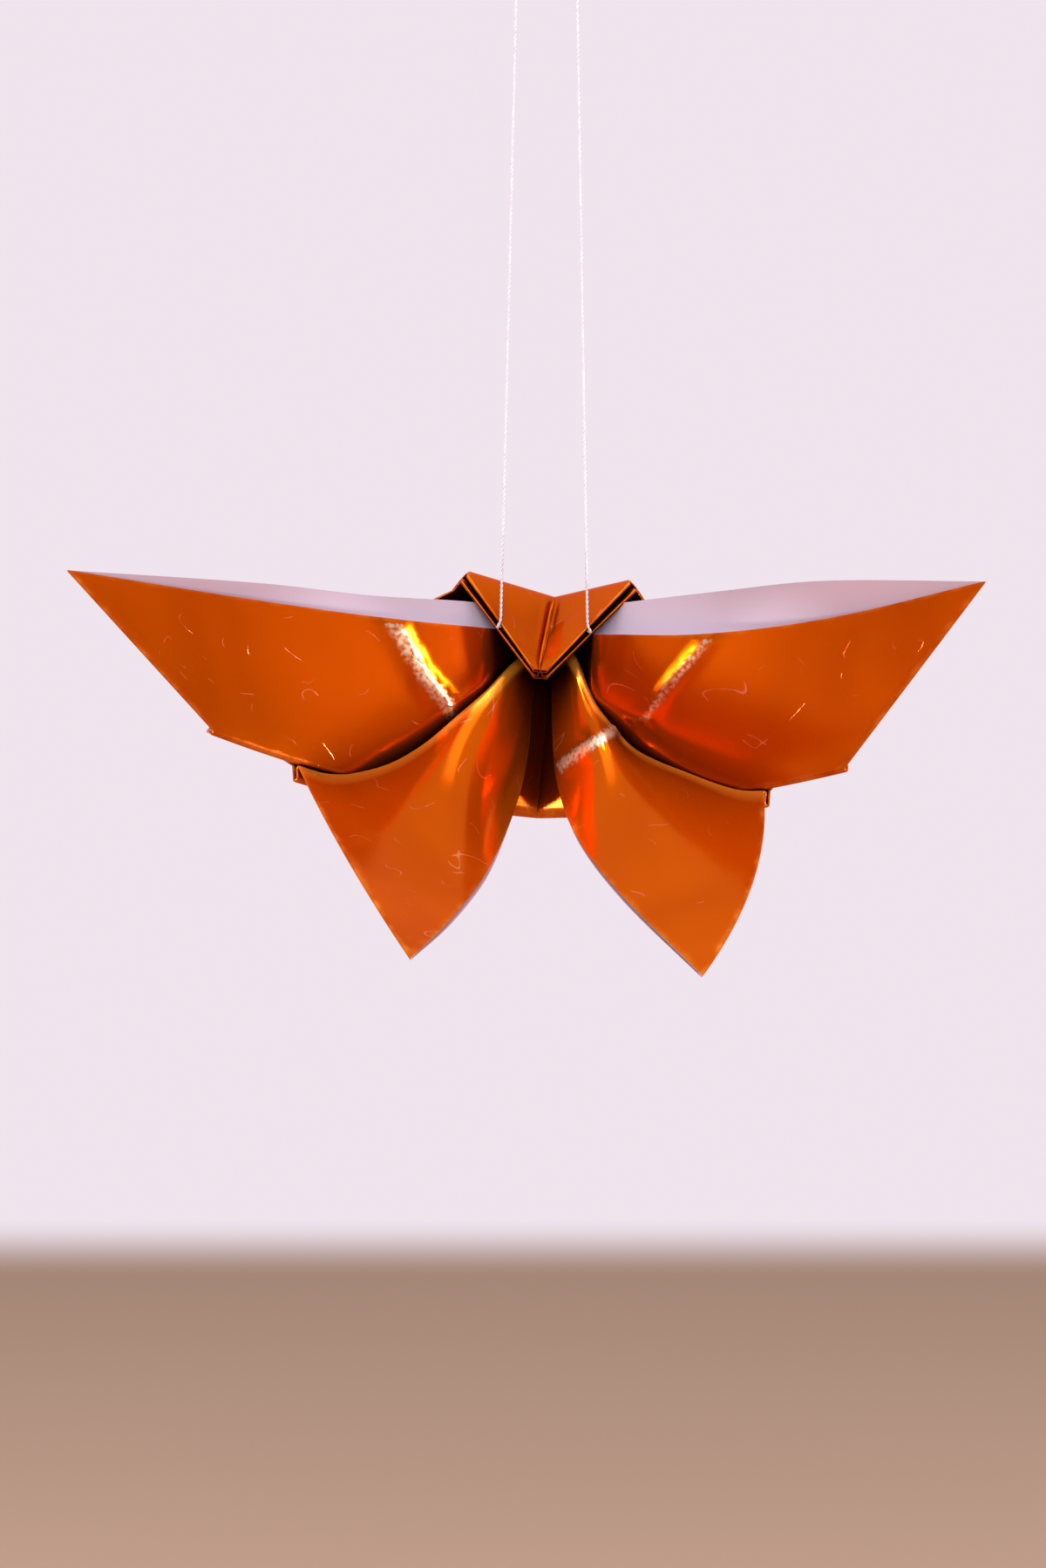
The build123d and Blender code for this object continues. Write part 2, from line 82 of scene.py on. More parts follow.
LOOP_KNOT_HEIGHT = 107.0
LOOP_RADIUS = 2.2
LOOP_CORNERS = 73
KNOT_CORNERS = 61
KNOT_SIDES = 8
HANGING_POINT = at(0.0213, -0.0827, 0.0) + UP * (LOOP_KNOT_HEIGHT + 2 * LOOP_RADIUS)


def model_point(point: Vector) -> Vector:
    """Turn a landmark in millimetres into a point of the model, in metres from the hanging point."""
    return (point - HANGING_POINT) * MM


def photo_place(point: Vector) -> tuple[float, float]:
    """Give the pixel of the photograph that a landmark lies behind."""
    scale = PIXEL * (1.0 + point.y / VIEWER)
    return PHOTO_MIDDLE[0] + point.x / scale, PHOTO_MIDDLE[1] - point.z / scale


def mix(a: object, b: object, share: float) -> object:
    """Give the point or number at a share of the way from a to b."""
    return a * (1.0 - share) + b * share


def even(count: int, first: float = 0.0, last: float = 1.0) -> list[float]:
    """Give evenly spaced shares from first to last, both included."""
    return [mix(first, last, index / (count - 1)) for index in range(count)]


def held(value: float) -> float:
    """Give a value, held between 0 and 1."""
    return max(0.0, min(1.0, value))


def bow(share: float) -> float:
    """Give how far a bow stands out at a share of its length, 1 in its middle."""
    return 4 * share * (1 - share)


def facing(line: Vector, way: Vector) -> Vector:
    """Give the unit direction along a line that points more to a way than from it."""
    unit = line.normalized()
    return unit if unit.dot(way) > 0 else -unit


def turn(start: Vector, end: Vector, share: float) -> Vector:
    """Turn a unit direction towards another.

    Args:
        start: The direction at share 0.
        end: The direction at share 1.
        share: Share of the turn.

    Returns:
        The unit direction there.
    """
    angle = start.angle(end)
    if angle < LEAST_TURN:
        return start.copy()
    return start * (sin((1 - share) * angle) / sin(angle)) + end * (sin(share * angle) / sin(angle))


def along(points: list[Vector], share: float) -> Vector:
    """Go along a smooth curve through points.

    Args:
        points: The points.
        share: Share of the curve's length.

    Returns:
        The point there.
    """
    lengths = [(b - a).length for a, b in zip(points, points[1:])]
    distance = held(share) * sum(lengths)
    span = 0
    while span < len(lengths) - 1 and distance > lengths[span]:
        distance -= lengths[span]
        span += 1
    chord = lengths[span]
    local = distance / chord
    a, b = points[span], points[span + 1]
    before = points[span - 1] if span else a * 2 - b
    after = points[span + 2] if span + 2 < len(points) else b * 2 - a
    leave = (b - before) * (chord / (chord + (a - before).length))
    arrive = (after - a) * (chord / ((after - b).length + chord))
    square, cube = local * local, local * local * local
    ends = a * (2 * cube - 3 * square + 1) + b * (3 * square - 2 * cube)
    return ends + leave * (cube - 2 * square + local) + arrive * (cube - square)


class Layer(IntEnum):
    """The four layers of one side, from the innermost out."""

    REAR = 0
    FRONT = 1
    OUTER = 2
    INNER = 3

    @property
    def tucked(self) -> bool:
        """Whether it is tucked in at the middle line."""
        return self in (Layer.FRONT, Layer.OUTER)

    @property
    def lower(self) -> bool:
        """Whether it ends in the lower wing."""
        return self > Layer.FRONT


@dataclass
class Ridge:
    """A soft crease that the paper's handling left, along a line of the photograph.

    Attributes:
        places: Pixels of the photograph along it.
        height: How far it stands out, in millimetres.
        width: Its half width, in pixels.
        rubbed_highlight: How far its crest is painted pale, as rubbed wear and a painted highlight.
    """

    layer: Layer
    places: list
    height: float
    width: float
    # Pale paint along the crest: rubbed wear and a painted highlight.
    rubbed_highlight: float = 0.0

    def near(self, point: Vector) -> float:
        """Measure how near a point is.

        Args:
            point: The point, in millimetres.

        Returns:
            1 on the crease, and less away from it.
        """
        x, y = photo_place(point)
        gaps = []
        for (ax, ay), (bx, by) in zip(self.places, self.places[1:]):
            dx, dy = bx - ax, by - ay
            share = held(((x - ax) * dx + (y - ay) * dy) / (dx * dx + dy * dy))
            gaps.append((x - ax - dx * share) ** 2 + (y - ay - dy * share) ** 2)
        return exp(-min(gaps) / self.width**2)


@dataclass
class Wing:
    """Where the folds and corners of one side of the butterfly stand.

    Attributes:
        side: -1 on the left and 1 on the right.
        head_end, corner: Ends of the head fold's axis and of the bottom fold.
        bottom_sag: How far the bottom fold hangs through.
        tip, lower_tip: Tips of the upper and of the lower wing.
        rear_edge, front_edge: Along the raw edges of the upper wing's rear and front layers.
        crease, inner_edge: Along the lower wing's crease and its raw edge.
        back_edge_gap, back_edge_slip: How far its back layer stands off and shows past the front one.
        riser_edge: Down the outer edge of the riser.
        lower_bulge, outer_swell: How far the lower wing bulges and its outer edge swells out.
        thread_lean: How far the thread leans sideways.
    """

    side: int
    head_end: Vector
    corner: Vector
    bottom_sag: float
    tip: Vector
    rear_edge: list
    front_edge: list
    crease: list
    inner_edge: list
    back_edge_gap: float
    back_edge_slip: float
    riser_edge: list
    lower_tip: Vector
    lower_bulge: Vector
    outer_swell: Vector
    thread_lean: float
    ridges: list


HEAD_PLEATS = [
    Ridge(Layer.INNER, [(633, 690), (624, 735), (617, 771)], -0.30, 2.4),
    Ridge(Layer.INNER, [(626, 688), (617, 738)], 0.16, 2.4),
    Ridge(Layer.INNER, [(640, 690), (633, 721)], -0.16, 2.0),
    Ridge(Layer.INNER, [(575, 690), (620, 738)], -0.14, 3.0),
    Ridge(Layer.INNER, [(673, 688), (631, 724)], -0.14, 3.0),
]

LEFT = Wing(
    side=-1,
    head_end=at(-0.06, -0.066, 0.1745),
    corner=at(-0.268, -0.1973, 0.046),
    bottom_sag=1.6,
    tip=at(-0.382, -0.2867, 0.1793),
    rear_edge=trail((-0.0487, -0.0667, 0.164), (-0.1333, -0.12, 0.1667), (-0.2233, -0.1787, 0.174)),
    front_edge=trail((-0.016, -0.0493, 0.1393), (-0.0373, -0.0867, 0.14), (-0.12, -0.14, 0.146),
                     (-0.22, -0.1987, 0.1573)),
    crease=trail((-0.008, -0.052, 0.1053), (-0.0293, -0.0733, 0.082), (-0.0553, -0.0907, 0.0587),
                 (-0.0853, -0.1067, 0.0327), (-0.1153, -0.1213, 0.0147), (-0.1507, -0.126, 0.005),
                 (-0.176, -0.1393, 0.0047)),
    inner_edge=trail((0.0093, -0.04, 0.086), (0.004, -0.06, 0.0307), (-0.006, -0.0973, -0.016),
                     (-0.03, -0.2, -0.0733), (-0.06, -0.2867, -0.1133)),
    back_edge_gap=0.55,
    back_edge_slip=0.45,
    riser_edge=trail((-0.1433, -0.0653, 0.1233), (-0.2267, -0.0973, 0.07), (-0.2733, -0.13, 0.0533)),
    lower_tip=at(-0.0913, -0.3667, -0.1427),
    lower_bulge=at(-0.0107, -0.0147, 0.004),
    outer_swell=at(-0.004, 0.0, 0.0),
    thread_lean=2.1,
    ridges=[
        *HEAD_PLEATS,
        Ridge(Layer.OUTER, [(356, 890), (397, 895), (445, 884), (489, 857)], 0.22, 5.0),
        Ridge(Layer.FRONT, [(444, 706), (464, 740), (486, 778), (510, 806), (520, 824)], 0.44, 10.0, 0.9),
        Ridge(Layer.OUTER, [(548, 800), (520, 868), (514, 885)], 0.06, 6.0),
    ],
)

RIGHT = Wing(
    side=1,
    head_end=at(0.105, -0.073, 0.1655),
    corner=at(0.276, -0.224, 0.014),
    bottom_sag=1.2,
    tip=at(0.3787, -0.3567, 0.166),
    rear_edge=trail((0.092, -0.08, 0.1627), (0.1733, -0.1567, 0.1687), (0.2533, -0.2333, 0.1733)),
    front_edge=trail((0.0587, -0.0573, 0.1353), (0.0693, -0.1013, 0.1333), (0.16, -0.1767, 0.1307),
                     (0.2633, -0.26, 0.1413)),
    crease=trail((0.044, -0.0533, 0.1133), (0.0587, -0.0773, 0.076), (0.0693, -0.092, 0.0587),
                 (0.0987, -0.108, 0.0267), (0.146, -0.1307, 0.0053), (0.178, -0.1527, -0.0067),
                 (0.1933, -0.162, -0.01)),
    inner_edge=trail((0.0273, -0.04, 0.0933), (0.0273, -0.06, 0.052), (0.0307, -0.1, 0.004),
                     (0.0453, -0.1733, -0.0433), (0.0813, -0.2667, -0.0927)),
    back_edge_gap=0.4,
    back_edge_slip=0.15,
    riser_edge=trail((0.1633, -0.0773, 0.1033), (0.2333, -0.1167, 0.0467), (0.2767, -0.1533, 0.0267)),
    lower_tip=at(0.1447, -0.38, -0.156),
    lower_bulge=at(0.012, -0.016, 0.0027),
    outer_swell=at(0.016, 0.0, 0.0),
    thread_lean=-1.4,
    ridges=[
        *HEAD_PLEATS,
        Ridge(Layer.OUTER, [(727, 859), (770, 888), (813, 906), (856, 913)], 0.18, 5.0),
        Ridge(Layer.FRONT, [(822, 722), (794, 758), (766, 790), (740, 826)], 0.36, 7.5, 0.7),
        Ridge(Layer.OUTER, [(630, 892), (655, 872), (678, 856), (704, 840)], 0.40, 8.0, 1.0),
        Ridge(Layer.OUTER, [(684, 786), (692, 815), (704, 842)], 0.20, 5.0, 0.8),
    ],
)

HEAD_TIP = at(0.0153, -0.0753, 0.0947)
HEAD_CENTRE = at(0.0287, -0.0053, 0.154)
BOTTOM_CENTRE = at(0.0133, 0.0013, -0.0213)
REAR_CENTRE = at(0.0287, -0.0007, 0.158)
TUCK_CENTRE = at(0.028, -0.01, 0.139)
FRONT_CENTRE = at(0.028, -0.0193, 0.1347)
RISER_MIDDLE = at(0.0213, 0.02, 0.07)


def tip_frame() -> tuple[Vector, Vector, Vector]:
    """Find how the head fold is turned at its middle.

    Returns:
        The directions up its middle, across it and out of its face.
    """
    rise = (HEAD_CENTRE - HEAD_TIP).normalized()
    across = (Vector((1.0, 0.0, 0.0)) - rise * rise.x).normalized()
    return rise, across, -rise.cross(across)


@dataclass
class Folds:
    """How the paper bends, with one number for each layer from the innermost out where four stand.

    Attributes:
        stack_centre: Distance of each layer from the innermost one at the middle line.
        stack_head_edge: The same at the ends of the head fold.
        head_bend, bottom_bend: Inner radius of the head fold and the bottom fold, at the middle and the ends.
        head_back_splay: How far the back of the head fold turns to the side.
        bottom_lean: How far the riser's foot leans under the bottom fold at the ends.
        tip_half_width, tip_stack: Half width of the blunt head tip, and each layer's place out of its face.
        tip_inset, centre_gap: How far the tucked layers stay from the tip's middle and the middle line.
        centre_reach, edge_reach: How far the folded edges stand out at the middle line and the sides.
        edge_gap: How far the front layer stays off the rear one at the wing's tip.
        sharpest_mitre: Least share of the paper's thickness that a corner keeps.
        crease_length, crease_bend: Length of the lower wing's crease, and its inner radius.
        crease_layer_gap: Gap between the lower wing's two layers.
        crease_pace: How the spokes spread along the crease.
        fold_opening: Share of the crease over which it opens out from the middle line.
        tuck_tail: The tail of paper in front of the crease at the middle line.
        lower_share: Share of the bottom fold that the lower wing takes up.
        passing: Where the crease starts to pass under the upper wing's edge and has passed it.
        pass_back, pass_drop: How far the lower wing's layers step back and down there.
        crease_pass_front, crease_pass_drop: How far the crease's end stands in front and hangs down.
        fold_reach, corner_reach: Distances of the bottom fold and of its corner from the flat sheet's middle.
        step: Step for finding a direction along a line.
    """

    stack_centre: tuple = (0.0, 0.34, 0.78, 1.14)
    stack_head_edge: tuple = (0.0, 0.36, 1.36, 1.72)
    head_bend: tuple = (1.5, 1.35)
    head_back_splay: float = 0.4
    bottom_bend: tuple = (0.35, 0.2)
    bottom_lean: float = 0.55
    tip_half_width: float = 0.8
    tip_stack: tuple = (0.0, 0.34, 1.1, 1.44)
    tip_inset: float = 0.42
    centre_reach: float = 0.16
    edge_reach: float = 0.5
    centre_gap: float = 0.55
    edge_gap: float = 0.34
    sharpest_mitre: float = 0.55
    crease_length: float = 45.0
    crease_bend: float = 0.25
    crease_layer_gap: float = 0.32
    crease_pace: float = 0.92
    fold_opening: float = 0.04
    tuck_tail: Vector = field(default_factory=lambda: Vector((0.0, -0.5, -0.7)))
    lower_share: float = 0.75
    passing: tuple = (0.50, 0.70)
    pass_back: float = 0.45
    pass_drop: float = 2.2
    crease_pass_front: float = 0.3
    crease_pass_drop: float = 1.35
    fold_reach: float = 45.2
    corner_reach: float = 54.2
    step: float = 0.02

    def raw_share(self, u: float) -> float:
        """Give the share of the raw edge that the spoke through share u of the bottom fold reaches."""
        return self.corner_reach * u / mix(self.fold_reach, self.corner_reach, u)

    def stack(self, layer: Layer, u: float, head: bool) -> float:
        """Give a layer's distance from the innermost one, in the head fold or in the bottom fold."""
        edge = self.stack_head_edge if head else self.stack_centre
        return mix(self.stack_centre[layer], edge[layer], u)

    def clear(self, layer: Layer) -> float:
        """Give how far a layer stays from the middle line."""
        return self.centre_gap if layer.tucked else 0.0

    def spread(self, layer: Layer, u: float, width: float) -> float:
        """Give share u of a row of that width, begun clear of the middle line."""
        return mix(self.clear(layer) / width, 1.0, u)

    def mitred(self, layer: Layer, u: float, run: Vector, offset: Vector) -> float:
        """Give share u of a row along a run, begun where its offset meets the other side's."""
        return mix(self.clear(layer) / run.length - offset.x / run.x, 1.0, u)

    def bottom_share(self, layer: Layer, share: float) -> float:
        """Give how much of the row a layer takes up, at a share of the way down the riser."""
        return mix(1.0, self.lower_share, share) if layer.lower else 1.0

    def passed(self, across: float) -> float:
        """Give how far the lower layers have passed under the upper wing's bottom edge, from 0 to 1."""
        start, end = self.passing
        return held((across - start) / (end - start))


@dataclass
class Rows:
    """Shares at which the rows of the sheet lie in each of its zones.

    Attributes:
        tip: Between the head tip and the head fold.
        head_front, head_rear: Round the head fold.
        riser: Down the riser.
        bottom_rear, bottom_front: Round the bottom fold.
        panel, crease, fall: Up the lower wing's panel, round its crease and down to its raw edge.
        crowding: Where a crowded upper wing's rows pass from one of these three to the next.
        crowded_until: Share of the bottom fold from which no row is crowded.
    """

    tip: list = field(default_factory=lambda: even(15)[:-1])
    head_front: list = field(default_factory=lambda: even(5)[:-1])
    head_rear: list = field(default_factory=lambda: even(5))
    riser: list = field(default_factory=lambda: even(10, 0.1))
    bottom_rear: list = field(default_factory=lambda: [0.35, 0.7])
    bottom_front: list = field(default_factory=lambda: [0.1, 0.4, 0.7, 1.0])
    panel: list = field(default_factory=lambda: even(8, 0.11, 0.88))
    crease: list = field(default_factory=lambda: even(5))
    fall: list = field(default_factory=lambda: even(14, 1 / 14))
    crowding: tuple = (0.93, 0.94, 0.97)
    crowded_until: float = 0.1

    def upper(self, u: float) -> list[float]:
        """Place the rows over an upper wing's panel, crowded at the top near the middle line.

        Args:
            u: The spoke's share of the bottom fold.

        Returns:
            The rows' shares, as many as a lower wing has.
        """
        panel_end, crease_start, crease_end = self.crowding
        crowded = [share * panel_end / self.panel[-1] for share in self.panel]
        crowded += even(len(self.crease), crease_start, crease_end) + even(len(self.fall) + 1, crease_end)[1:]
        opened = min(1.0, u / self.crowded_until)
        return [mix(a, b, opened) for a, b in zip(crowded, even(len(crowded), 1 / len(crowded)))]

    def folded(self) -> tuple[range, range]:
        """Count where the folded rows lie.

        Returns:
            The numbers of the rows round the bottom fold and of those round the lower wing's crease.
        """
        bottom = sum(map(len, (self.tip, self.head_front, self.head_rear, self.riser)))
        panel = bottom + len(self.bottom_rear) + len(self.bottom_front)
        crease = panel + len(self.panel)
        return range(bottom, panel), range(crease, crease + len(self.crease))


@dataclass
class Side:
    """One side of the folded sheet, which finds where each spoke of the paper runs.

    A spoke is named by its layer and by u, its share of the bottom fold.
    """

    wing: Wing
    folds: Folds
    rows: Rows

    def __post_init__(self) -> None:
        """Find the directions that stay the same over the side."""
        run = self.wing.corner - BOTTOM_CENTRE
        self.front = facing(Vector((run.y, -run.x, 0.0)), AHEAD)
        self.head_run = self.wing.head_end - HEAD_CENTRE
        self.face = facing((HEAD_CENTRE - HEAD_TIP).cross(self.head_run), AHEAD)
        self.behind = (BACK - self.front * self.folds.head_back_splay).normalized()

    def bottom_axis(self, u: float) -> Vector:
        """Give the middle of the bottom fold at share u."""
        return mix(BOTTOM_CENTRE, self.wing.corner, u) - UP * (self.wing.bottom_sag * bow(u))

    def bottom_start(self, across: float) -> Vector:
        """Give the direction out of the bottom fold's back where the riser comes into it."""
        return turn(-self.front, DOWN, self.folds.bottom_lean * across)

    def tip_point(self, layer: Layer, u: float) -> Vector:
        """Find a spoke's point of the blunt head tip.

        Args:
            layer: Its layer.
            u: Its share of the bottom fold.

        Returns:
            The point.
        """
        _, across, face = tip_frame()
        inset = self.folds.tip_inset if layer.tucked else 0.0
        reach = self.wing.side * mix(inset, self.folds.tip_half_width, u)
        return HEAD_TIP + across * reach + face * self.folds.tip_stack[layer]

    def head_points(self, layer: Layer, u: float) -> list[Vector]:
        """Lead a spoke from the head tip up and over the top of the head fold.

        Args:
            layer: Its layer.
            u: Its share of the bottom fold.

        Returns:
            Its points.
        """
        folds, middle = self.folds, (self.face + self.behind).normalized()
        directions = [turn(self.face, middle, share) for share in self.rows.head_front]
        directions += [turn(middle, self.behind, share) for share in self.rows.head_rear]
        inner = folds.head_bend[0] + folds.stack_centre[layer]
        points = []
        for direction in directions:
            local = folds.mitred(layer, u, self.head_run, direction * inner)
            outwards = max(0.0, local)
            radius = mix(*folds.head_bend, outwards) + folds.stack(layer, outwards, True)
            points.append(HEAD_CENTRE + self.head_run * local + direction * radius)
        tip = self.tip_point(layer, u)
        return [mix(tip, points[0], share) for share in self.rows.tip] + points

    def riser_route(self, across: float, share: float) -> Vector:
        """Find a point of the riser.

        Args:
            across: Share across it, from the middle line.
            share: Share of the way down.

        Returns:
            The point.
        """
        centre = along([HEAD_CENTRE, RISER_MIDDLE, BOTTOM_CENTRE], share)
        edge = along([self.wing.head_end, *self.wing.riser_edge, self.wing.corner], share)
        return mix(centre, edge, across) - UP * (self.wing.bottom_sag * bow(across) * share)

    def riser_normal(self, across: float, share: float) -> Vector:
        """Find the direction out of the back of the riser.

        Args:
            across: Share across it, from the middle line.
            share: Share of the way down.

        Returns:
            The unit direction.
        """
        step = self.folds.step
        behind = turn(self.behind, self.bottom_start(max(0.0, across)), share)
        level = self.riser_route(across + step, share) - self.riser_route(across - step, share)
        down = self.riser_route(across, share + step) - self.riser_route(across, share - step)
        return turn(behind, facing(level.cross(down), behind), max(0.0, sin(pi * share)) ** 0.5)

    def riser_points(self, layer: Layer, u: float) -> list[Vector]:
        """Lead a spoke down the riser.

        Args:
            layer: Its layer.
            u: Its share of the bottom fold.

        Returns:
            Its points.
        """
        folds, points = self.folds, []
        for share in self.rows.riser:
            width = folds.bottom_share(layer, share)
            run = (self.riser_route(1.0, share) - self.riser_route(0.0, share)) * width
            inner = mix(folds.head_bend[0], folds.bottom_bend[0], share) + folds.stack_centre[layer]
            across = folds.mitred(layer, u, run, self.riser_normal(0.0, share) * inner) * width
            local = max(0.0, across)
            bend = mix(mix(*folds.head_bend, local), mix(*folds.bottom_bend, local), share)
            depth = mix(folds.stack(layer, local, True), folds.stack(layer, local, False), share)
            points.append(self.riser_route(across, share) + self.riser_normal(across, share) * (bend + depth))
        return points

    def bottom_points(self, layer: Layer, u: float, only_last: bool = False) -> list[Vector]:
        """Lead a spoke round the bottom fold, from behind to the front.

        Args:
            layer: Its layer.
            u: Its share of the bottom fold.
            only_last: Whether the last point is enough.

        Returns:
            Its points.
        """
        folds = self.folds
        width = folds.bottom_share(layer, 1.0)
        run = (self.wing.corner - BOTTOM_CENTRE) * width
        inner = folds.bottom_bend[0] + folds.stack_centre[layer]
        turns = [(True, share) for share in self.rows.bottom_rear]
        turns += [(False, share) for share in self.rows.bottom_front]
        points = []
        for leans, share in turns[-1:] if only_last else turns:
            begins, ends = (-self.front, DOWN) if leans else (DOWN, self.front)
            across = folds.mitred(layer, u, run, turn(begins, ends, share) * inner) * width
            local = max(0.0, across)
            begins = self.bottom_start(local) if leans else begins
            radius = mix(*folds.bottom_bend, local) + folds.stack(layer, local, False)
            axis = self.bottom_axis(across)
            if layer.lower:
                below = folds.passed(local)
                axis = axis + (self.front * -folds.pass_back + DOWN * folds.pass_drop) * below
                radius -= (folds.stack_centre[Layer.OUTER] - PAPER) * below
            points.append(axis + turn(begins, ends, share) * radius)
        return points

    def upper_raw_point(self, layer: Layer, u: float) -> Vector:
        """Find where a spoke of the upper wing meets the raw edge.

        Args:
            layer: Its layer.
            u: Its share of the bottom fold.

        Returns:
            The point.
        """
        rear = layer == Layer.REAR
        centre, edge = (REAR_CENTRE, self.wing.rear_edge) if rear else (TUCK_CENTRE, self.wing.front_edge)
        tip = self.wing.tip + self.front * (0.0 if rear else self.folds.edge_gap)
        return along([centre, *edge, tip], self.folds.raw_share(self.folds.spread(layer, u, SHEET_SIDE / 2)))

    def lower_edge(self, share: float) -> Vector:
        """Give the point at a share of the lower wing's raw edge."""
        return along([FRONT_CENTRE, *self.wing.inner_edge, self.wing.lower_tip], share)

    def crease_axis(self, u: float) -> Vector:
        """Find the middle of the lower wing's crease.

        Args:
            u: Share along it.

        Returns:
            The point.
        """
        folds = self.folds
        end = self.bottom_axis(folds.lower_share) + self.front * folds.crease_pass_front
        end = end + DOWN * folds.crease_pass_drop
        return along([FRONT_CENTRE, *self.wing.crease, end], max(0.0, u) ** folds.crease_pace)

    def lower_frame(self, u: float) -> tuple[Vector, Vector, Vector]:
        """Find how the lower wing's crease is turned.

        Args:
            u: Share along it.

        Returns:
            The directions out of the panel, over the crease and out of the wing's front.
        """
        folds, step = self.folds, self.folds.step
        u = max(2 * step, u)
        axis = self.crease_axis(u)
        rise = (axis - self.bottom_points(Layer.INNER, u, True)[0]).normalized()
        fall = (self.lower_edge(folds.raw_share(u)) - axis).normalized()
        line = (self.crease_axis(u + step / 2) - self.crease_axis(u - 3 * step / 2)).normalized()
        below = folds.passed(u * folds.lower_share)
        panel_side = turn(facing(rise.cross(line), -self.front), -self.front, below)
        over = (rise - fall).normalized()
        over = turn((over - line * over.dot(line)).normalized(), UP, below)
        return panel_side, over, facing(fall.cross(line), self.front)

    def lower_raw_point(self, layer: Layer, u: float) -> Vector:
        """Find where a spoke of the lower wing meets the raw edge.

        Args:
            layer: Its layer.
            u: Its share of the bottom fold.

        Returns:
            The point.
        """
        folds, step = self.folds, self.folds.step
        share = folds.raw_share(folds.spread(layer, u, SHEET_SIDE / 2))
        point = self.lower_edge(share)
        edge = (self.lower_edge(share + step) - self.lower_edge(share - step)).normalized()
        apart = max(folds.fold_opening, u)
        fall = (self.lower_edge(folds.raw_share(apart)) - self.crease_axis(apart)).normalized()
        normal = facing(edge.cross(fall), self.lower_frame(u)[2])
        if layer == Layer.OUTER:
            return point + normal * (folds.crease_layer_gap * 0.5)
        gap = mix(folds.crease_layer_gap * 0.5, self.wing.back_edge_gap, bow(share))
        outwards = facing(edge.cross(normal), fall)
        return point - normal * gap + outwards * (self.wing.back_edge_slip * sin(pi * share))

    def lower_points(self, layer: Layer, u: float) -> list[Vector]:
        """Lead a spoke over the lower wing's panel, round its crease and down to the raw edge.

        Args:
            layer: Its layer.
            u: Its share of the bottom fold.

        Returns:
            Its points.
        """
        folds, rows = self.folds, self.rows
        radius = folds.crease_bend + (folds.crease_layer_gap if layer == Layer.OUTER else 0.0)
        foot = self.bottom_points(layer, u, True)[0]
        local = folds.spread(layer, u, folds.crease_length)
        axis = self.crease_axis(local)
        panel_side, over, wing_side = self.lower_frame(local)
        opened = min(1.0, u / folds.fold_opening)
        end = turn(over, wing_side, opened)
        crease = [axis + turn(panel_side, end, share) * radius for share in rows.crease]
        raw = mix(crease[-1] + folds.tuck_tail, self.lower_raw_point(layer, u), opened)
        bulge = self.wing.lower_bulge * bow(u) + self.wing.outer_swell * u**4
        panel = [mix(foot, crease[0], share) for share in rows.panel]
        return panel + crease + [mix(crease[-1], raw, share) + bulge * bow(share) for share in rows.fall]

    def spoke(self, layer: Layer, u: float) -> list[Vector]:
        """Lead a spoke over the whole sheet, from the head tip to the raw edge.

        Args:
            layer: Its layer.
            u: Its share of the bottom fold.

        Returns:
            Its points.
        """
        points = self.head_points(layer, u) + self.riser_points(layer, u) + self.bottom_points(layer, u)
        if layer.lower:
            return points + self.lower_points(layer, u)
        foot, raw = points[-1], self.upper_raw_point(layer, u)
        return points + [mix(foot, raw, share) for share in self.rows.upper(u)]


@dataclass
class Spoke:
    """One spoke of the sheet.

    Attributes:
        points: Its points, from the head tip to the raw edge.
        sector: Which eighth of the flat sheet it lies in.
        u: Its share of the bottom fold.
        layer: Its layer.
        edge: 1 on a folded edge between two layers and 0 well away from one.
    """

    points: list
    sector: int
    u: float
    layer: Layer
    edge: float


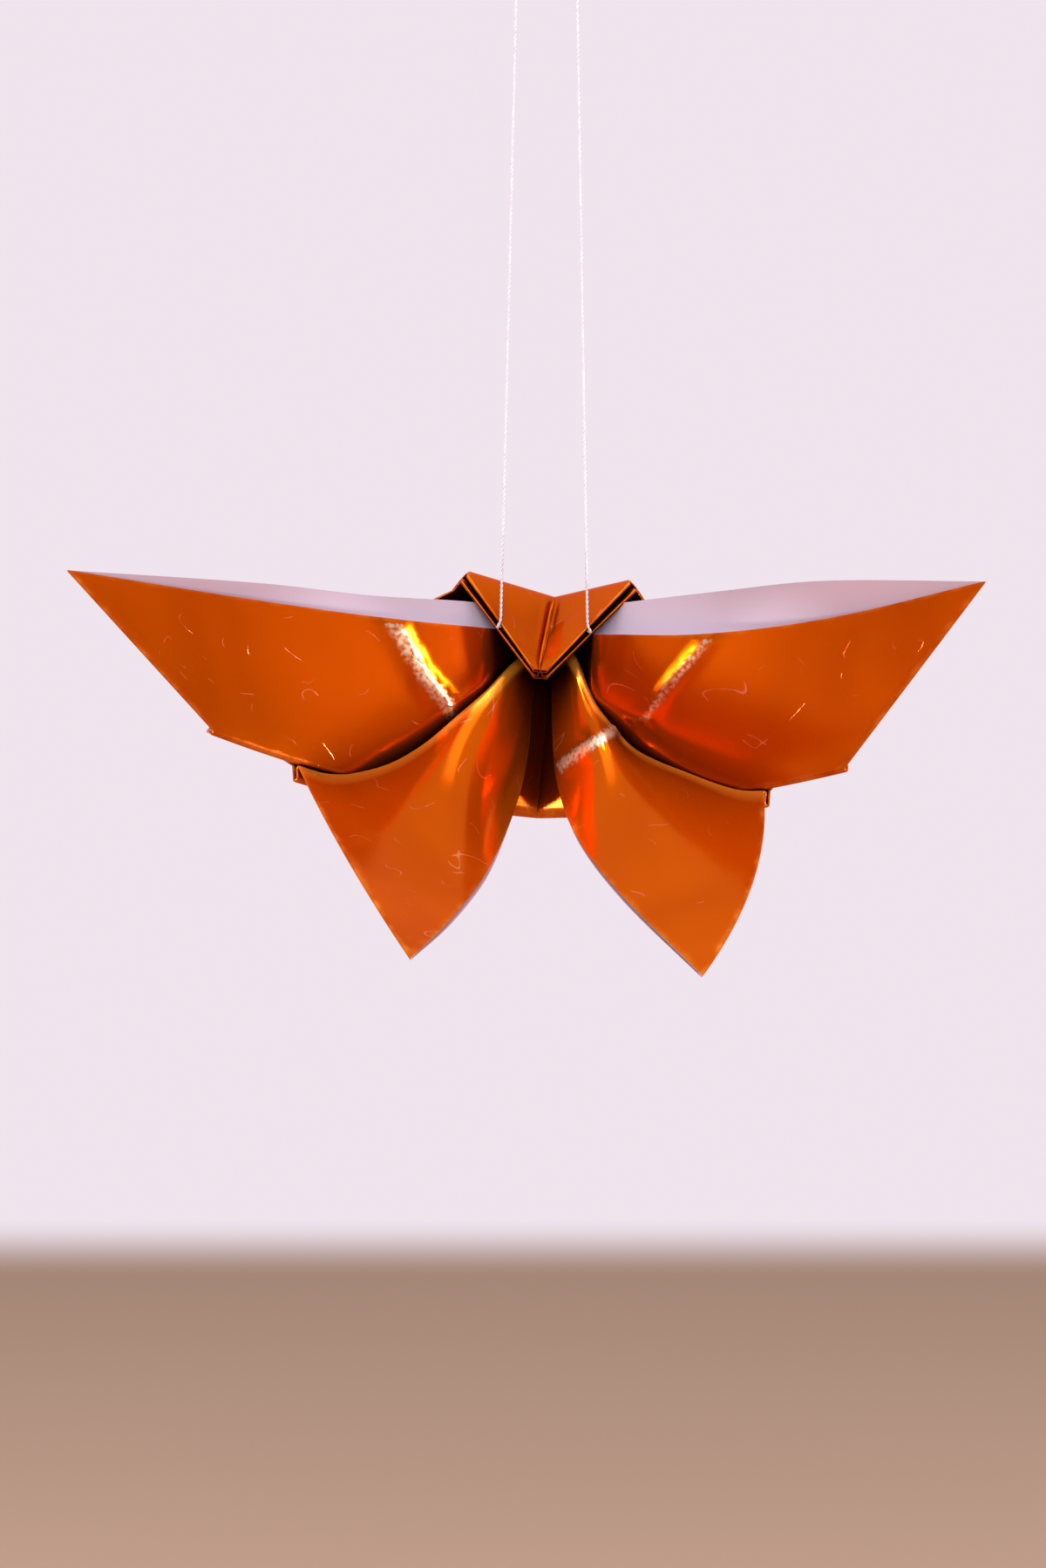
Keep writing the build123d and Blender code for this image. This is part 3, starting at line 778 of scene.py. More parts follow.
@dataclass
class FoldedSheet:
    """The square sheet, folded into the butterfly, with a coloured skin and a white one.

    Attributes:
        columns: Shares of the bottom fold that the spokes of each sector run through.
        edge_spokes: Spokes that round each folded edge.
        wear_reach: How far the wear beside a fold reaches, in millimetres.
        rim_highlight_reach: How far the lower wings' painted highlight rim reaches from their crease, in
            millimetres.
        unpressed: Nearness to a folded edge from which no soft crease lifts the paper.
        rub_highlights: How far each point is painted pale, as rubbed wear and a painted highlight, by its place
            in the grid.
    """

    name: str = "paper_sheet"
    columns: list = field(default_factory=lambda: [
        0.0, 0.01, 0.02, 0.035, 0.05, 0.07, 0.09, *even(20, 0.11, 0.49), *even(15, 0.52)])
    edge_spokes: int = 7
    folds: Folds = field(default_factory=Folds)
    rows: Rows = field(default_factory=Rows)
    wear_reach: float = 0.7
    rim_highlight_reach: float = 1.1
    unpressed: float = 0.9
    rub_highlights: dict = field(default_factory=dict)

    def build(self, colour: Material, white: Material) -> Object:
        """Build the sheet and dress it.

        Args:
            colour: Finish of the coloured skin.
            white: Finish of the white skin and of the cut edges.

        Returns:
            The piece.
        """
        spokes = self.sheet_spokes()
        rings = [list(ring) for ring in zip(*(spoke.points for spoke in spokes))]
        self.press_ridges(rings, spokes)
        count, size = len(spokes), len(spokes) * len(rings)
        last = size - count
        faces, finish = [], []
        for a in range(last):
            b = a - a % count + (a + 1) % count
            faces += [(a, b, b + count, a + count), (a + size, a + count + size, b + count + size, b + size)]
            finish += [0, int(a >= count)]
        smooth = len(faces)
        for a in range(count):
            b = (a + 1) % count
            faces += [(last + a, last + b, size + last + b, size + last + a), (a, size + a, size + b, b)]
            finish += [1, 0]
        mesh = bpy.data.meshes.new(self.name)
        mesh.from_pydata([model_point(point) for skin in self.skins(rings) for point in skin], [], faces)
        mesh.polygons.foreach_set("material_index", finish)
        mesh.polygons.foreach_set("use_smooth", [index < smooth for index in range(len(faces))])
        mesh.materials.append(colour)
        mesh.materials.append(white)
        self.mark(mesh, spokes)
        mesh.set_sharp_from_angle(angle=SHARP)
        mesh.validate()
        mesh.update()
        return add_piece(mesh, "folded_sheet")

    def sheet_spokes(self) -> list[Spoke]:
        """Find all the spokes round the sheet.

        Returns:
            The spokes from the rear middle line round to it again.
        """
        left = self.side_spokes(Side(LEFT, self.folds, self.rows), 0)
        right = self.side_spokes(Side(RIGHT, self.folds, self.rows), 4)
        for a, b in ((left[0], right[0]), (left[-1], right[-1])):
            a.points = [mix(p, q, 0.5) for p, q in zip(a.points, b.points)]
        return left + right[-2:0:-1]

    def side_spokes(self, side: Side, sector: int) -> list[Spoke]:
        """Find the spokes of one side, out and back four times.

        Args:
            side: The side.
            sector: Number of its first sector.

        Returns:
            The spokes from the rear middle line to the front middle line.
        """
        layers = []
        for layer in Layer:
            spokes = []
            for u in self.columns:
                near = 1 - u if layer == Layer.REAR else min(u, 1 - u)
                edge = exp(-near * self.folds.fold_reach / self.wear_reach)
                spokes.append(Spoke(side.spoke(layer, u), sector + layer, u, layer, edge))
            layers.append(spokes)
        rear, front, outer, inner = layers
        folds = self.folds
        found = rear + self.folded_edge(rear[-1], front[-1], rear[-2], folds.edge_reach)
        found += front[::-1] + self.folded_edge(front[0], outer[0], front[1], folds.centre_reach)
        found += outer + self.folded_edge(outer[-1], inner[-1], outer[-2], folds.edge_reach)
        return found + inner[::-1]

    def folded_edge(self, first: Spoke, second: Spoke, inside: Spoke, longest: float) -> list[Spoke]:
        """Round a folded edge between two layers.

        Args:
            first: Last spoke of the one layer.
            second: First spoke of the other.
            inside: The spoke before the first.
            longest: How far the rounded edge may stand out.

        Returns:
            The spokes between the two.
        """
        spokes = []
        for place in range(self.edge_spokes):
            angle = pi * (place + 1) / (self.edge_spokes + 1)
            column = []
            for a, b, near in zip(first.points, second.points, inside.points):
                middle = mix(a, b, (1 - cos(angle)) / 2)
                reach = min((b - a).length * 0.5, longest) * sin(angle)
                column.append(middle + (a - near).normalized() * reach)
            owner = first if place < self.edge_spokes / 2 else second
            spokes.append(Spoke(column, owner.sector, owner.u, owner.layer, 1.0))
        return spokes

    def press_ridges(self, rings: list, spokes: list[Spoke]) -> None:
        """Lift the paper along its soft creases, on the panels in front.

        Args:
            rings: The sheet's points, ring by ring, which are moved.
            spokes: The spokes through them.
        """
        bottom, crease = self.rows.folded()
        begins = {Layer.FRONT: bottom.stop, Layer.OUTER: crease.stop - 1, Layer.INNER: 1}
        ends = {Layer.INNER: len(self.rows.tip)}
        count = len(spokes)
        lifted = {}
        for column, spoke in enumerate(spokes):
            wing = LEFT if spoke.sector < 4 else RIGHT
            ridges = [ridge for ridge in wing.ridges if ridge.layer == spoke.layer]
            if not ridges or spoke.edge > self.unpressed:
                continue
            for row in range(begins[spoke.layer], ends.get(spoke.layer, len(rings) - 1)):
                ring = rings[row]
                near = [ridge.near(ring[column]) for ridge in ridges]
                lift = sum(ridge.height * share for ridge, share in zip(ridges, near))
                # Record the pale paint on each crest: rubbed wear and a painted highlight.
                self.rub_highlights[row * count + column] = max(r.rubbed_highlight * share for r, share in zip(ridges, near))
                if abs(lift) > LEAST_LIFT:
                    across = ring[(column + 1) % count] - ring[column - 1]
                    down = rings[row + 1][column] - rings[row - 1][column]
                    lifted[row, column] = ring[column] + facing(across.cross(down), AHEAD) * lift
        for (row, column), point in lifted.items():
            rings[row][column] = point
        log.info("soft creases lift %d points", len(lifted))

    def skins(self, rings: list) -> tuple[list, list]:
        """Set the skins half a paper thickness on each side of the middle.

        Args:
            rings: The middle's points, ring by ring.

        Returns:
            The points of the coloured skin and of the white one.
        """
        colour, white = [], []
        count, rise = len(rings[0]), tip_frame()[0]
        for row, ring in enumerate(rings):
            below, above = rings[max(row - 1, 0)], rings[min(row + 1, len(rings) - 1)]
            for column, point in enumerate(ring):
                sides = ring[column - 1], ring[(column + 1) % count]
                ends = (below[column], above[column]) if row else (point - rise, point + rise)
                offset = self.corner_normal(point, sides, ends) * (PAPER / 2)
                colour.append(point + offset)
                white.append(point - offset)
        return colour, white

    def corner_normal(self, point: Vector, sides: tuple, ends: tuple) -> Vector:
        """Find the normal round a point.

        Args:
            point: The point.
            sides: The points before and after it in its ring.
            ends: The points before and after it in its spoke.

        Returns:
            The normal, lengthened so that each facet keeps its thickness.
        """
        (left, right), (below, above) = sides, ends
        round_ring = (point - left).normalized() + (right - point).normalized()
        outwards = Vector((0.0, 0.0, 0.0))
        for step in (point - below, above - point):
            if step.length > LEAST_STEP:
                outwards = outwards + step.normalized()
        normal = round_ring.cross(outwards).normalized()
        first = (point - left).cross(outwards).normalized()
        return normal / max(self.folds.sharpest_mitre, abs(first.dot(normal)))

    def marks(self, spoke: Spoke) -> list[tuple]:
        """Find a spoke's place on the flat sheet and what lies near it.

        Args:
            spoke: The spoke.

        Returns:
            For each point its place, and its nearness to a fold, to the lower wing's painted highlight rim and
            to the raw edge.
        """
        lengths = [0.0]
        for a, b in zip(spoke.points, spoke.points[1:]):
            lengths.append(lengths[-1] + (b - a).length)
        sideways = self.folds.raw_share(spoke.u)
        back = spoke.sector % 2
        angle = SECTOR * (spoke.sector + (1 - sideways if back else sideways))
        reach = (1 + sideways**2) ** 0.5 / 2
        bottom, crease = self.rows.folded()
        found = []
        for row, length in enumerate(lengths):
            away = reach * length / lengths[-1]
            gaps = [0.0 if row in rows else min(abs(length - lengths[rows[0]]), abs(length - lengths[rows[-1]]))
                    for rows in ([bottom, crease] if spoke.layer.lower else [bottom])]
            # Painted highlight: a bright band on the lower wing's outer layer just past its crease.
            rim_highlight = 0.0
            if spoke.layer == Layer.OUTER and row >= crease.start:
                below = max(0.0, length - lengths[crease.stop - 1])
                rim_highlight = exp(-((below / self.rim_highlight_reach) ** 4))
            found.append((
                (0.5 + cos(angle) * away, 0.5 + sin(angle) * away),
                max(spoke.edge, exp(-min(gaps) / self.wear_reach)),
                rim_highlight,
                exp(-(lengths[-1] - length) / self.wear_reach),
            ))
        return found

    def mark(self, mesh: Mesh, spokes: list[Spoke]) -> None:
        """Write the marks of each point into the mesh.

        Args:
            mesh: The sheet's mesh.
            spokes: The spokes through its points.
        """
        flat, fold, rim_highlight, raw = zip(*(mark for ring in zip(*map(self.marks, spokes)) for mark in ring))
        layout = mesh.uv_layers.new(name="flat")
        for loop in mesh.loops:
            layout.data[loop.index].uv = flat[loop.vertex_index % len(flat)]
        # Pale paint on the soft creases: rubbed wear and a painted highlight.
        rubbed_highlight = [self.rub_highlights.get(place, 0.0) for place in range(len(flat))]
        for name, values in (("fold", fold), ("rim_highlight", rim_highlight), ("raw", raw), ("rubbed_highlight", rubbed_highlight)):
            mesh.attributes.new(name, "FLOAT", "POINT").data.foreach_set("value", [*values, *values])


def add_piece(mesh: Mesh, node: str) -> Object:
    """Put a mesh into the scene as a piece of the part.

    Args:
        mesh: The piece's mesh, which gives it its name.
        node: The node that it stands for.

    Returns:
        The piece.
    """
    piece = bpy.data.objects.new(mesh.name, mesh)
    bpy.context.scene.collection.objects.link(piece)
    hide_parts(node)
    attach(piece, "root")
    return piece


@dataclass
class Thread:
    """One white two-ply thread, with its loop, the knot under the loop and the stopper knot in the fold.

    Attributes:
        length: Length from the stopper knot to the loop knot, in metres; not used.
        diameter: Across both plies, in millimetres.
        clearance: How far it stays off the paper.
        tuck: How far it reaches into the fold.
        turn: How far it comes round the fold's edge before it rises, as a share.
        lead: How far it is straight above the fold, in diameters.
        smoothness: Points of its middle line for each of its corners.
        pitch: Length of one turn of the plies.
        turn_steps: Steps in one turn of them.
        ply_offset, ply_radius: A ply's distance from the middle and its radius, as shares of the diameter.
        loop_knot, stopper_knot: Half width of the knot, and radius of its yarn.
    """

    name: str
    node: str
    side: Side
    length: float
    diameter: float = 0.4
    clearance: float = 0.1
    tuck: float = 1.1
    turn: float = 0.6
    lead: float = 6.0
    smoothness: int = 48
    pitch: float = 1.3
    turn_steps: int = 9
    ply_offset: float = 0.22
    ply_radius: float = 0.27
    loop_knot: tuple = (0.5, 0.168)
    stopper_knot: tuple = (0.26, 0.11)

    def route(self) -> list[Vector]:
        """Find the thread's way round the folded edge.

        Returns:
            Its corners, from the knot under its loop down to the stopper knot, in millimetres.
        """
        side = self.side
        outer, inner, front = (side.spoke(layer, 1.0) for layer in (Layer.OUTER, Layer.INNER, Layer.FRONT))
        fold = len(side.rows.tip)
        half = [mix(points[0], points[fold], 0.5) for points in (outer, inner, front)]
        point = mix(half[0], half[1], 0.5)
        face = (half[1] - half[0]).normalized()
        away = facing((outer[fold] - outer[0]).cross(face), DOWN)
        pair = (half[1] - half[0]).length / 2
        depth = pair + (half[0] - half[2]).length / 2
        clear = pair + PAPER / 2 + self.diameter / 2 + self.clearance
        rises = point + face * clear + away * (self.turn * clear)
        beside = point + away * (clear + self.diameter / 2)
        below = beside - face * depth
        inside = point - face * depth - away * self.tuck
        top = Vector((rises.x + side.wing.thread_lean, rises.y, LOOP_KNOT_HEIGHT))
        straight = rises + (top - rises).normalized() * (self.lead * self.diameter)
        return [top, straight, rises, beside, below, inside]

    def centreline(self) -> list[Vector]:
        """Lay a smooth line through the route.

        Returns:
            The line's points, from the stopper knot up, in metres.
        """
        curve = bpy.data.curves.new(self.name + "_line", "CURVE")
        curve.dimensions = "3D"
        curve.resolution_u = self.smoothness
        corners = [model_point(point) for point in self.route()[::-1]]
        spline = curve.splines.new("NURBS")
        spline.points.add(len(corners) - 1)
        for knot, corner in zip(spline.points, corners):
            knot.co = (*corner, 1.0)
        spline.order_u = 3
        spline.use_endpoint_u = True
        line = bpy.data.objects.new(curve.name, curve)
        points = [vertex.co.copy() for vertex in bpy.data.meshes.new_from_object(line).vertices]
        bpy.data.objects.remove(line)
        return points

    def build(self, yarn: Material) -> None:
        """Build the thread with its loop and knots, and dress it.

        Args:
            yarn: Its finish.
        """
        line = self.centreline()
        log.info("%s is %.4f m long", self.name, sum((b - a).length for a, b in zip(line, line[1:])))
        top, radius = line[-1], LOOP_RADIUS * MM
        middle, angles = top + UP * radius, even(LOOP_CORNERS, 0.0, 2 * pi)
        ring = [middle + Vector((sin(angle), 0.0, -cos(angle))) * radius for angle in angles]
        strand, *others = (self.piece(self.name + part, shape, yarn) for part, shape in (
            ("", self.plies(line)),
            ("_loop", self.plies(ring)),
            ("_loop_knot", knot_tube(top, *self.loop_knot)),
            ("_stopper_knot", knot_tube(line[0], *self.stopper_knot)),
        ))

    def piece(self, name: str, shape: tuple[list, list], yarn: Material) -> Object:
        """Make one piece of the thread.

        Args:
            name: Its name.
            shape: Its points and faces.
            yarn: Its finish.

        Returns:
            The piece.
        """
        mesh = bpy.data.meshes.new(name)
        mesh.from_pydata(shape[0], [], shape[1])
        mesh.polygons.foreach_set("use_smooth", [True] * len(mesh.polygons))
        mesh.materials.append(yarn)
        mesh.update()
        return add_piece(mesh, self.node)

    def plies(self, line: list[Vector]) -> tuple[list, list]:
        """Twist two plies round a line.

        Args:
            line: Points along the thread's middle, in metres.

        Returns:
            The points and faces of both plies.
        """
        pitch, diameter = self.pitch * MM, self.diameter * MM
        steps, length = [], 0.0
        normal = AHEAD
        for a, b in zip(line, line[1:]):
            span = (b - a).length
            pieces = max(1, round(span / (pitch / self.turn_steps)))
            ahead = (b - a).normalized()
            normal = (normal - ahead * normal.dot(ahead)).normalized()
            for piece in range(pieces):
                share = piece / pieces
                steps.append((mix(a, b, share), normal, ahead.cross(normal), length + span * share))
            length += span
        steps.append((line[-1], normal, ahead.cross(normal), length))
        points, faces = [], []
        for start in (0.0, pi):
            centres = []
            for centre, first, second, distance in steps:
                angle = start + 2 * pi * distance / pitch
                out = first * cos(angle) + second * sin(angle)
                centres.append(centre + out * (diameter * self.ply_offset))
            ply, sides = tube(centres, diameter * self.ply_radius)
            faces += [tuple(corner + len(points) for corner in face) for face in sides]
            points += ply
        return points, faces


def tube(centres: list[Vector], radius: float, sides: int = 7, closed: bool = False) -> tuple[list, list]:
    """Lay a tube round a line.

    Args:
        centres: The line's points.
        radius: The tube's radius.
        sides: Corners round the tube.
        closed: Whether the last point joins the first.

    Returns:
        The tube's points and its faces.
    """
    points, faces, count = [], [], len(centres)
    normal = AHEAD
    for index, centre in enumerate(centres):
        before = centres[index - 1] if index or closed else centre
        after = centres[(index + 1) % count] if index < count - 1 or closed else centre
        ahead = (after - before).normalized()
        normal = (normal - ahead * normal.dot(ahead)).normalized()
        other = ahead.cross(normal)
        for side in range(sides):
            angle = 2 * pi * side / sides
            points.append(centre + (normal * cos(angle) + other * sin(angle)) * radius)
    for index in range(count if closed else count - 1):
        near, far = index * sides, (index + 1) % count * sides
        for side in range(sides):
            after = (side + 1) % sides
            faces.append((near + side, near + after, far + after, far + side))
    if not closed:
        faces += [tuple(range(sides))[::-1], tuple(range((count - 1) * sides, count * sides))]
    return points, faces


def knot_tube(middle: Vector, size: float, radius: float) -> tuple[list, list]:
    """Tie a tight overhand knot.

    Args:
        middle: Its middle, in metres.
        size: Its half width, in millimetres.
        radius: Radius of its yarn, in millimetres.

    Returns:
        The knot's points and its faces.
    """
    centres = []
    for angle in even(KNOT_CORNERS, 0.0, 2 * pi)[:-1]:
        bend = Vector((sin(angle) + 2 * sin(2 * angle), sin(3 * angle), cos(angle) - 2 * cos(2 * angle)))
        centres.append(middle + bend * ((size - radius) * MM / 3))
    return tube(centres, radius * MM, KNOT_SIDES, True)


@dataclass
class Shader:
    """A node tree that is being wired, either a material or a shared effect."""

    tree: NodeTree

    def add(self, kind: str, inputs: dict | None = None, **settings: object) -> Node:
        """Add a node and set it up.

        Args:
            kind: The node's type, such as ShaderNodeMath.
            inputs: Value or output socket for each input, by its name or index.
            settings: The node's own properties.

        Returns:
            The new node.
        """
        node = self.tree.nodes.new(kind)
        for name, value in settings.items():
            setattr(node, name, value)
        for name, value in (inputs or {}).items():
            self.feed(node.inputs[name], value)
        return node

    def feed(self, socket: NodeSocket, value: object) -> None:
        """Give a socket its value, or link it to an output.

        Args:
            socket: The socket.
            value: The value or the output.
        """
        if isinstance(value, NodeSocket):
            self.tree.links.new(value, socket)
        else:
            socket.default_value = value

    def times(self, first: object, second: object) -> NodeSocket:
        """Multiply two values and return the result, held between 0 and 1."""
        return self.math("MULTIPLY", first, second)

    def plus(self, first: object, second: object) -> NodeSocket:
        """Add two values and return the result, held between 0 and 1."""
        return self.math("ADD", first, second)

    def math(self, operation: str, first: object, second: object) -> NodeSocket:
        """Do a sum of two values and return the result, held between 0 and 1."""
        return self.add("ShaderNodeMath", {0: first, 1: second}, operation=operation, use_clamp=True).outputs[0]

    def mix(self, share: object, first: object, second: object) -> NodeSocket:
        """Mix two colours and return the result."""
        return self.add("ShaderNodeMix", {0: share, 6: first, 7: second}, data_type="RGBA").outputs[2]

    def span(self, value: object, low: float, high: float, first: float = 0.0, last: float = 1.0) -> NodeSocket:
        """Map a value's span from low to high onto one from first to last, held within it."""
        inputs = {"Value": value, "From Min": low, "From Max": high, "To Min": first, "To Max": last}
        return self.add("ShaderNodeMapRange", inputs, clamp=True, interpolation_type="SMOOTHSTEP").outputs[0]

    def noise(self, vector: object, scale: object, detail: float = 2.0, distortion: object = 0.0) -> NodeSocket:
        """Add a noise over the surface and return its value."""
        inputs = {"Vector": vector, "Scale": scale, "Detail": detail, "Distortion": distortion}
        return self.add("ShaderNodeTexNoise", inputs).outputs[0]

    def attribute(self, name: str) -> NodeSocket:
        """Read a value that the mesh holds at each point."""
        return self.add("ShaderNodeAttribute", attribute_name=name).outputs["Fac"]

    def place(self, effect_tree: NodeTree, **inputs: object) -> Node:
        """Place a shared effect with its own values."""
        return self.add("ShaderNodeGroup", inputs, node_tree=effect_tree)


def effect(name: str, takes: list[str], gives: list[str]) -> tuple:
    """Start a shared effect.

    Args:
        name: Its name.
        takes: Names of its inputs after Vector, which are values.
        gives: Names of its outputs, which are values.

    Returns:
        Its shader, the outlets of its inputs and the inlets of its outputs.
    """
    tree = bpy.data.node_groups.new(name, "ShaderNodeTree")
    tree.interface.new_socket(name="Vector", in_out="INPUT", socket_type="NodeSocketVector")
    for way, labels in (("INPUT", takes), ("OUTPUT", gives)):
        for label in labels:
            tree.interface.new_socket(name=label, in_out=way, socket_type="NodeSocketFloat")
    shader = Shader(tree)
    return shader, shader.add("NodeGroupInput").outputs, shader.add("NodeGroupOutput").inputs


@dataclass
class Effects:
    """The effects that more than one finish uses."""

    def __post_init__(self) -> None:
        """Build each effect once."""
        self.grain = self.build_grain()
        self.wear = self.build_wear()
        self.hairlines = self.build_hairlines()

    def build_grain(self) -> NodeTree:
        """Build the fine grain of a surface and its slow changes of tone.

        Returns:
            The effect.
        """
        shader, taken, given = effect("surface grain", ["Fine", "Slow"], ["Grain", "Tone"])
        shader.feed(given["Grain"], shader.noise(taken["Vector"], taken["Fine"], 3.0))
        slow = shader.noise(taken["Vector"], taken["Slow"], 2.0, 0.6)
        shader.feed(given["Tone"], shader.span(slow, 0.1, 0.9))
        return shader.tree

    def build_wear(self) -> NodeTree:
        """Build the wear that breaks out in specks where something is near.

        Returns:
            The effect.
        """
        shader, taken, given = effect("broken wear", ["Scale", "Near", "Amount"], ["Mask"])
        specks = shader.noise(taken["Vector"], taken["Scale"])
        kept = shader.times(specks, shader.times(taken["Near"], taken["Amount"]))
        shader.feed(given["Mask"], shader.span(kept, 0.18, 0.50))
        return shader.tree

    def build_hairlines(self) -> NodeTree:
        """Build fine curved scratches that come and go.

        Returns:
            The effect.
        """
        shader, taken, given = effect("hairline scratches", ["Scale", "Bend"], ["Mask"])
        lines = shader.noise(taken["Vector"], taken["Scale"], 0.0, taken["Bend"])
        thin = shader.times(shader.span(lines, 0.493, 0.5), shader.span(lines, 0.507, 0.5))
        shown = shader.span(shader.noise(taken["Vector"], 0.21, 1.0), 0.57, 0.63)
        shader.feed(given["Mask"], shader.times(thin, shown))
        return shader.tree


@dataclass(frozen=True)
class Finish:
    """A finish of one of the object's pieces, whose colours are linear.

    Attributes:
        name: The material's name.
        deep: Colour where it is deepest.
        bright: Colour where it is brightest.
        metallic: How much it shines like metal.
        roughness: Its roughness, lowest and highest.
        coat: Weight of its clear coat.
        grain: Fine and slow scale of its grain, in each unit of its place.
        relief: Height of its grain, in millimetres.
        more: Other sockets of its surface and their values.
    """

    name: str
    deep: tuple
    bright: tuple
    metallic: float
    roughness: tuple
    coat: float
    grain: tuple
    relief: float
    more: tuple = ()

    def make(self, effects: Effects) -> Material:
        """Build the material.

        Args:
            effects: The shared effects.

        Returns:
            The material.
        """
        material = bpy.data.materials.new(self.name)
        material.use_nodes = True
        shader = Shader(material.node_tree)
        surface = next(node for node in shader.tree.nodes if node.type == "BSDF_PRINCIPLED").inputs
        place = self.place(shader)
        fine, slow = self.grain
        grain = shader.place(effects.grain, Vector=place, Fine=fine, Slow=slow).outputs
        colour, rough, height = self.look(shader, effects, place, grain)
        bump = shader.add("ShaderNodeBump", {"Height": height, "Distance": self.relief * MM, "Strength": 1.0})
        for socket, value in (
            ("Base Color", colour),
            ("Metallic", self.metallic),
            ("Roughness", rough),
            ("Coat Weight", self.coat),
            ("Coat Roughness", COAT_ROUGHNESS),
            ("Normal", bump.outputs[0]),
            *self.more,
        ):
            shader.feed(surface[socket], value)
        return material

    def place(self, shader: Shader) -> NodeSocket:
        """Give each point's place on the flat sheet, in millimetres."""
        inputs = {0: shader.add("ShaderNodeUVMap", uv_map="flat").outputs[0], 1: (SHEET_SIDE,) * 3}
        return shader.add("ShaderNodeVectorMath", inputs, operation="MULTIPLY").outputs[0]

    def wear(
        self, shader: Shader, effects: Effects, place: NodeSocket, near: str, scale: float, amount: float
    ) -> NodeSocket:
        """Give the broken wear near what the mesh has marked, by the mark's name."""
        marked = shader.attribute(near)
        return shader.place(effects.wear, Vector=place, Scale=scale, Near=marked, Amount=amount).outputs[0]

    def look(self, shader: Shader, effects: Effects, place: NodeSocket, grain: object) -> tuple:
        """Give the finish its look.

        Args:
            shader: The material's nodes.
            effects: The shared effects; not used here.
            place: Each point's place; not used here.
            grain: Outlets of its grain and tone there.

        Returns:
            Its colour, its roughness and the height of its relief.
        """
        return shader.mix(grain["Tone"], self.deep, self.bright), self.rough(shader, grain), grain["Grain"]

    def cover(self, shader: Shader, mask: object, under: object, colour: tuple, share: float) -> NodeSocket:
        """Cover a colour with another one, up to a share where the mask is full."""
        return shader.mix(shader.times(mask, share), under, colour)

    def rough(self, shader: Shader, grain: object) -> NodeSocket:
        """Give the roughness, which follows the tone."""
        return shader.span(grain["Tone"], 0.0, 1.0, *self.roughness)


@dataclass(frozen=True)
class ColouredPaper(Finish):
    """The glossy orange side of the paper. Its Specular Tint is the colour that it mirrors at a glance.

    Attributes:
        scratched, worn, rubbed_highlight, frayed, rim_highlight: Colour of its scratches, of its folds (wear in
        a bright orange
            that also stands as a painted highlight), of its soft creases (rubbed wear and a painted highlight),
            of its raw edge and of the lower wings' rims (a painted highlight), and how far each covers the
            paper.
        scratches: Scale and bend of its scratches.
        wears: Mark, scale and amount of the wear and painted highlight at its folds, of the rubbed wear and
            painted highlight on its soft creases, and of the wear at its raw edge.
        strengths: How strongly the grain and the scratches stand out, and how much wear roughens the paper.
        painted_shade: Colour of the painted shade deep between the layers.
        cavity: Width of what counts as between the layers for that painted shade, in metres.
        openness: How open the air is where that painted shade ends and where the paper is clear of it.
    """

    name: str = "glossy orange paper"
    deep: tuple = (0.52, 0.068, 0.0, 1.0)
    bright: tuple = (0.72, 0.120, 0.0, 1.0)
    metallic: float = 0.60
    roughness: tuple = (0.10, 0.14)
    coat: float = 0.03
    grain: tuple = (9.0, 0.035)
    relief: float = 0.012
    more: tuple = (("Specular Tint", (1.0, 0.35, 0.02, 1.0)), ("Specular IOR Level", 0.05))
    scratched: tuple = ((1.0, 0.34, 0.22, 1.0), 0.55)
    # Wear at the folds, in a bright orange that also stands as a painted highlight along them.
    worn: tuple = ((0.95, 0.30, 0.05, 1.0), 0.6)
    rubbed_highlight: tuple = ((1.0, 0.88, 0.64, 1.0), 0.9)
    frayed: tuple = ((0.95, 0.30, 0.05, 1.0), 0.4)
    rim_highlight: tuple = ((1.0, 0.33, 0.03, 1.0), 0.95)
    scratches: tuple = (0.11, 1.2)
    wears: tuple = (("fold", 0.3, 0.6), ("rubbed_highlight", 1.5, 1.0), ("raw", 0.3, 0.7))
    strengths: tuple = (0.35, 0.5, 0.3)
    painted_shade: tuple = (0.02, 0.0, 0.0, 1.0)
    cavity: float = 0.034
    openness: tuple = (0.2, 0.92)

    def look(self, shader: Shader, effects: Effects, place: NodeSocket, grain: object) -> tuple:
        """Add wear and painted highlights at the folds and soft creases, scratches, painted shade between the
        layers and the rims' painted highlight; see Finish.look.
        """
        colour, rough, _ = super().look(shader, effects, place, grain)
        scale, bend = self.scratches
        lines = shader.place(effects.hairlines, Vector=place, Scale=scale, Bend=bend).outputs[0]
        wears = [self.wear(shader, effects, place, *values) for values in self.wears]
        # The covers at the folds and soft creases are wear and painted highlight in one.
        for mask, cover in zip([lines, *wears], (self.scratched, self.worn, self.rubbed_highlight, self.frayed)):
            colour = self.cover(shader, mask, colour, *cover)
        # Painted shade: the colour turns near black where little open air reaches, between the layers.
        open_air = shader.add("ShaderNodeAmbientOcclusion", {"Distance": self.cavity}, samples=8).outputs["AO"]
        colour = shader.mix(shader.span(open_air, *self.openness), self.painted_shade, colour)
        # Painted highlight: a bright orange band along the lower wings' creases.
        colour = self.cover(shader, shader.attribute("rim_highlight"), colour, *self.rim_highlight)
        grained, scratched, worn = self.strengths
        height = shader.plus(shader.times(grain["Grain"], grained), shader.times(lines, scratched))
        return colour, shader.plus(rough, shader.times(wears[0], worn)), height


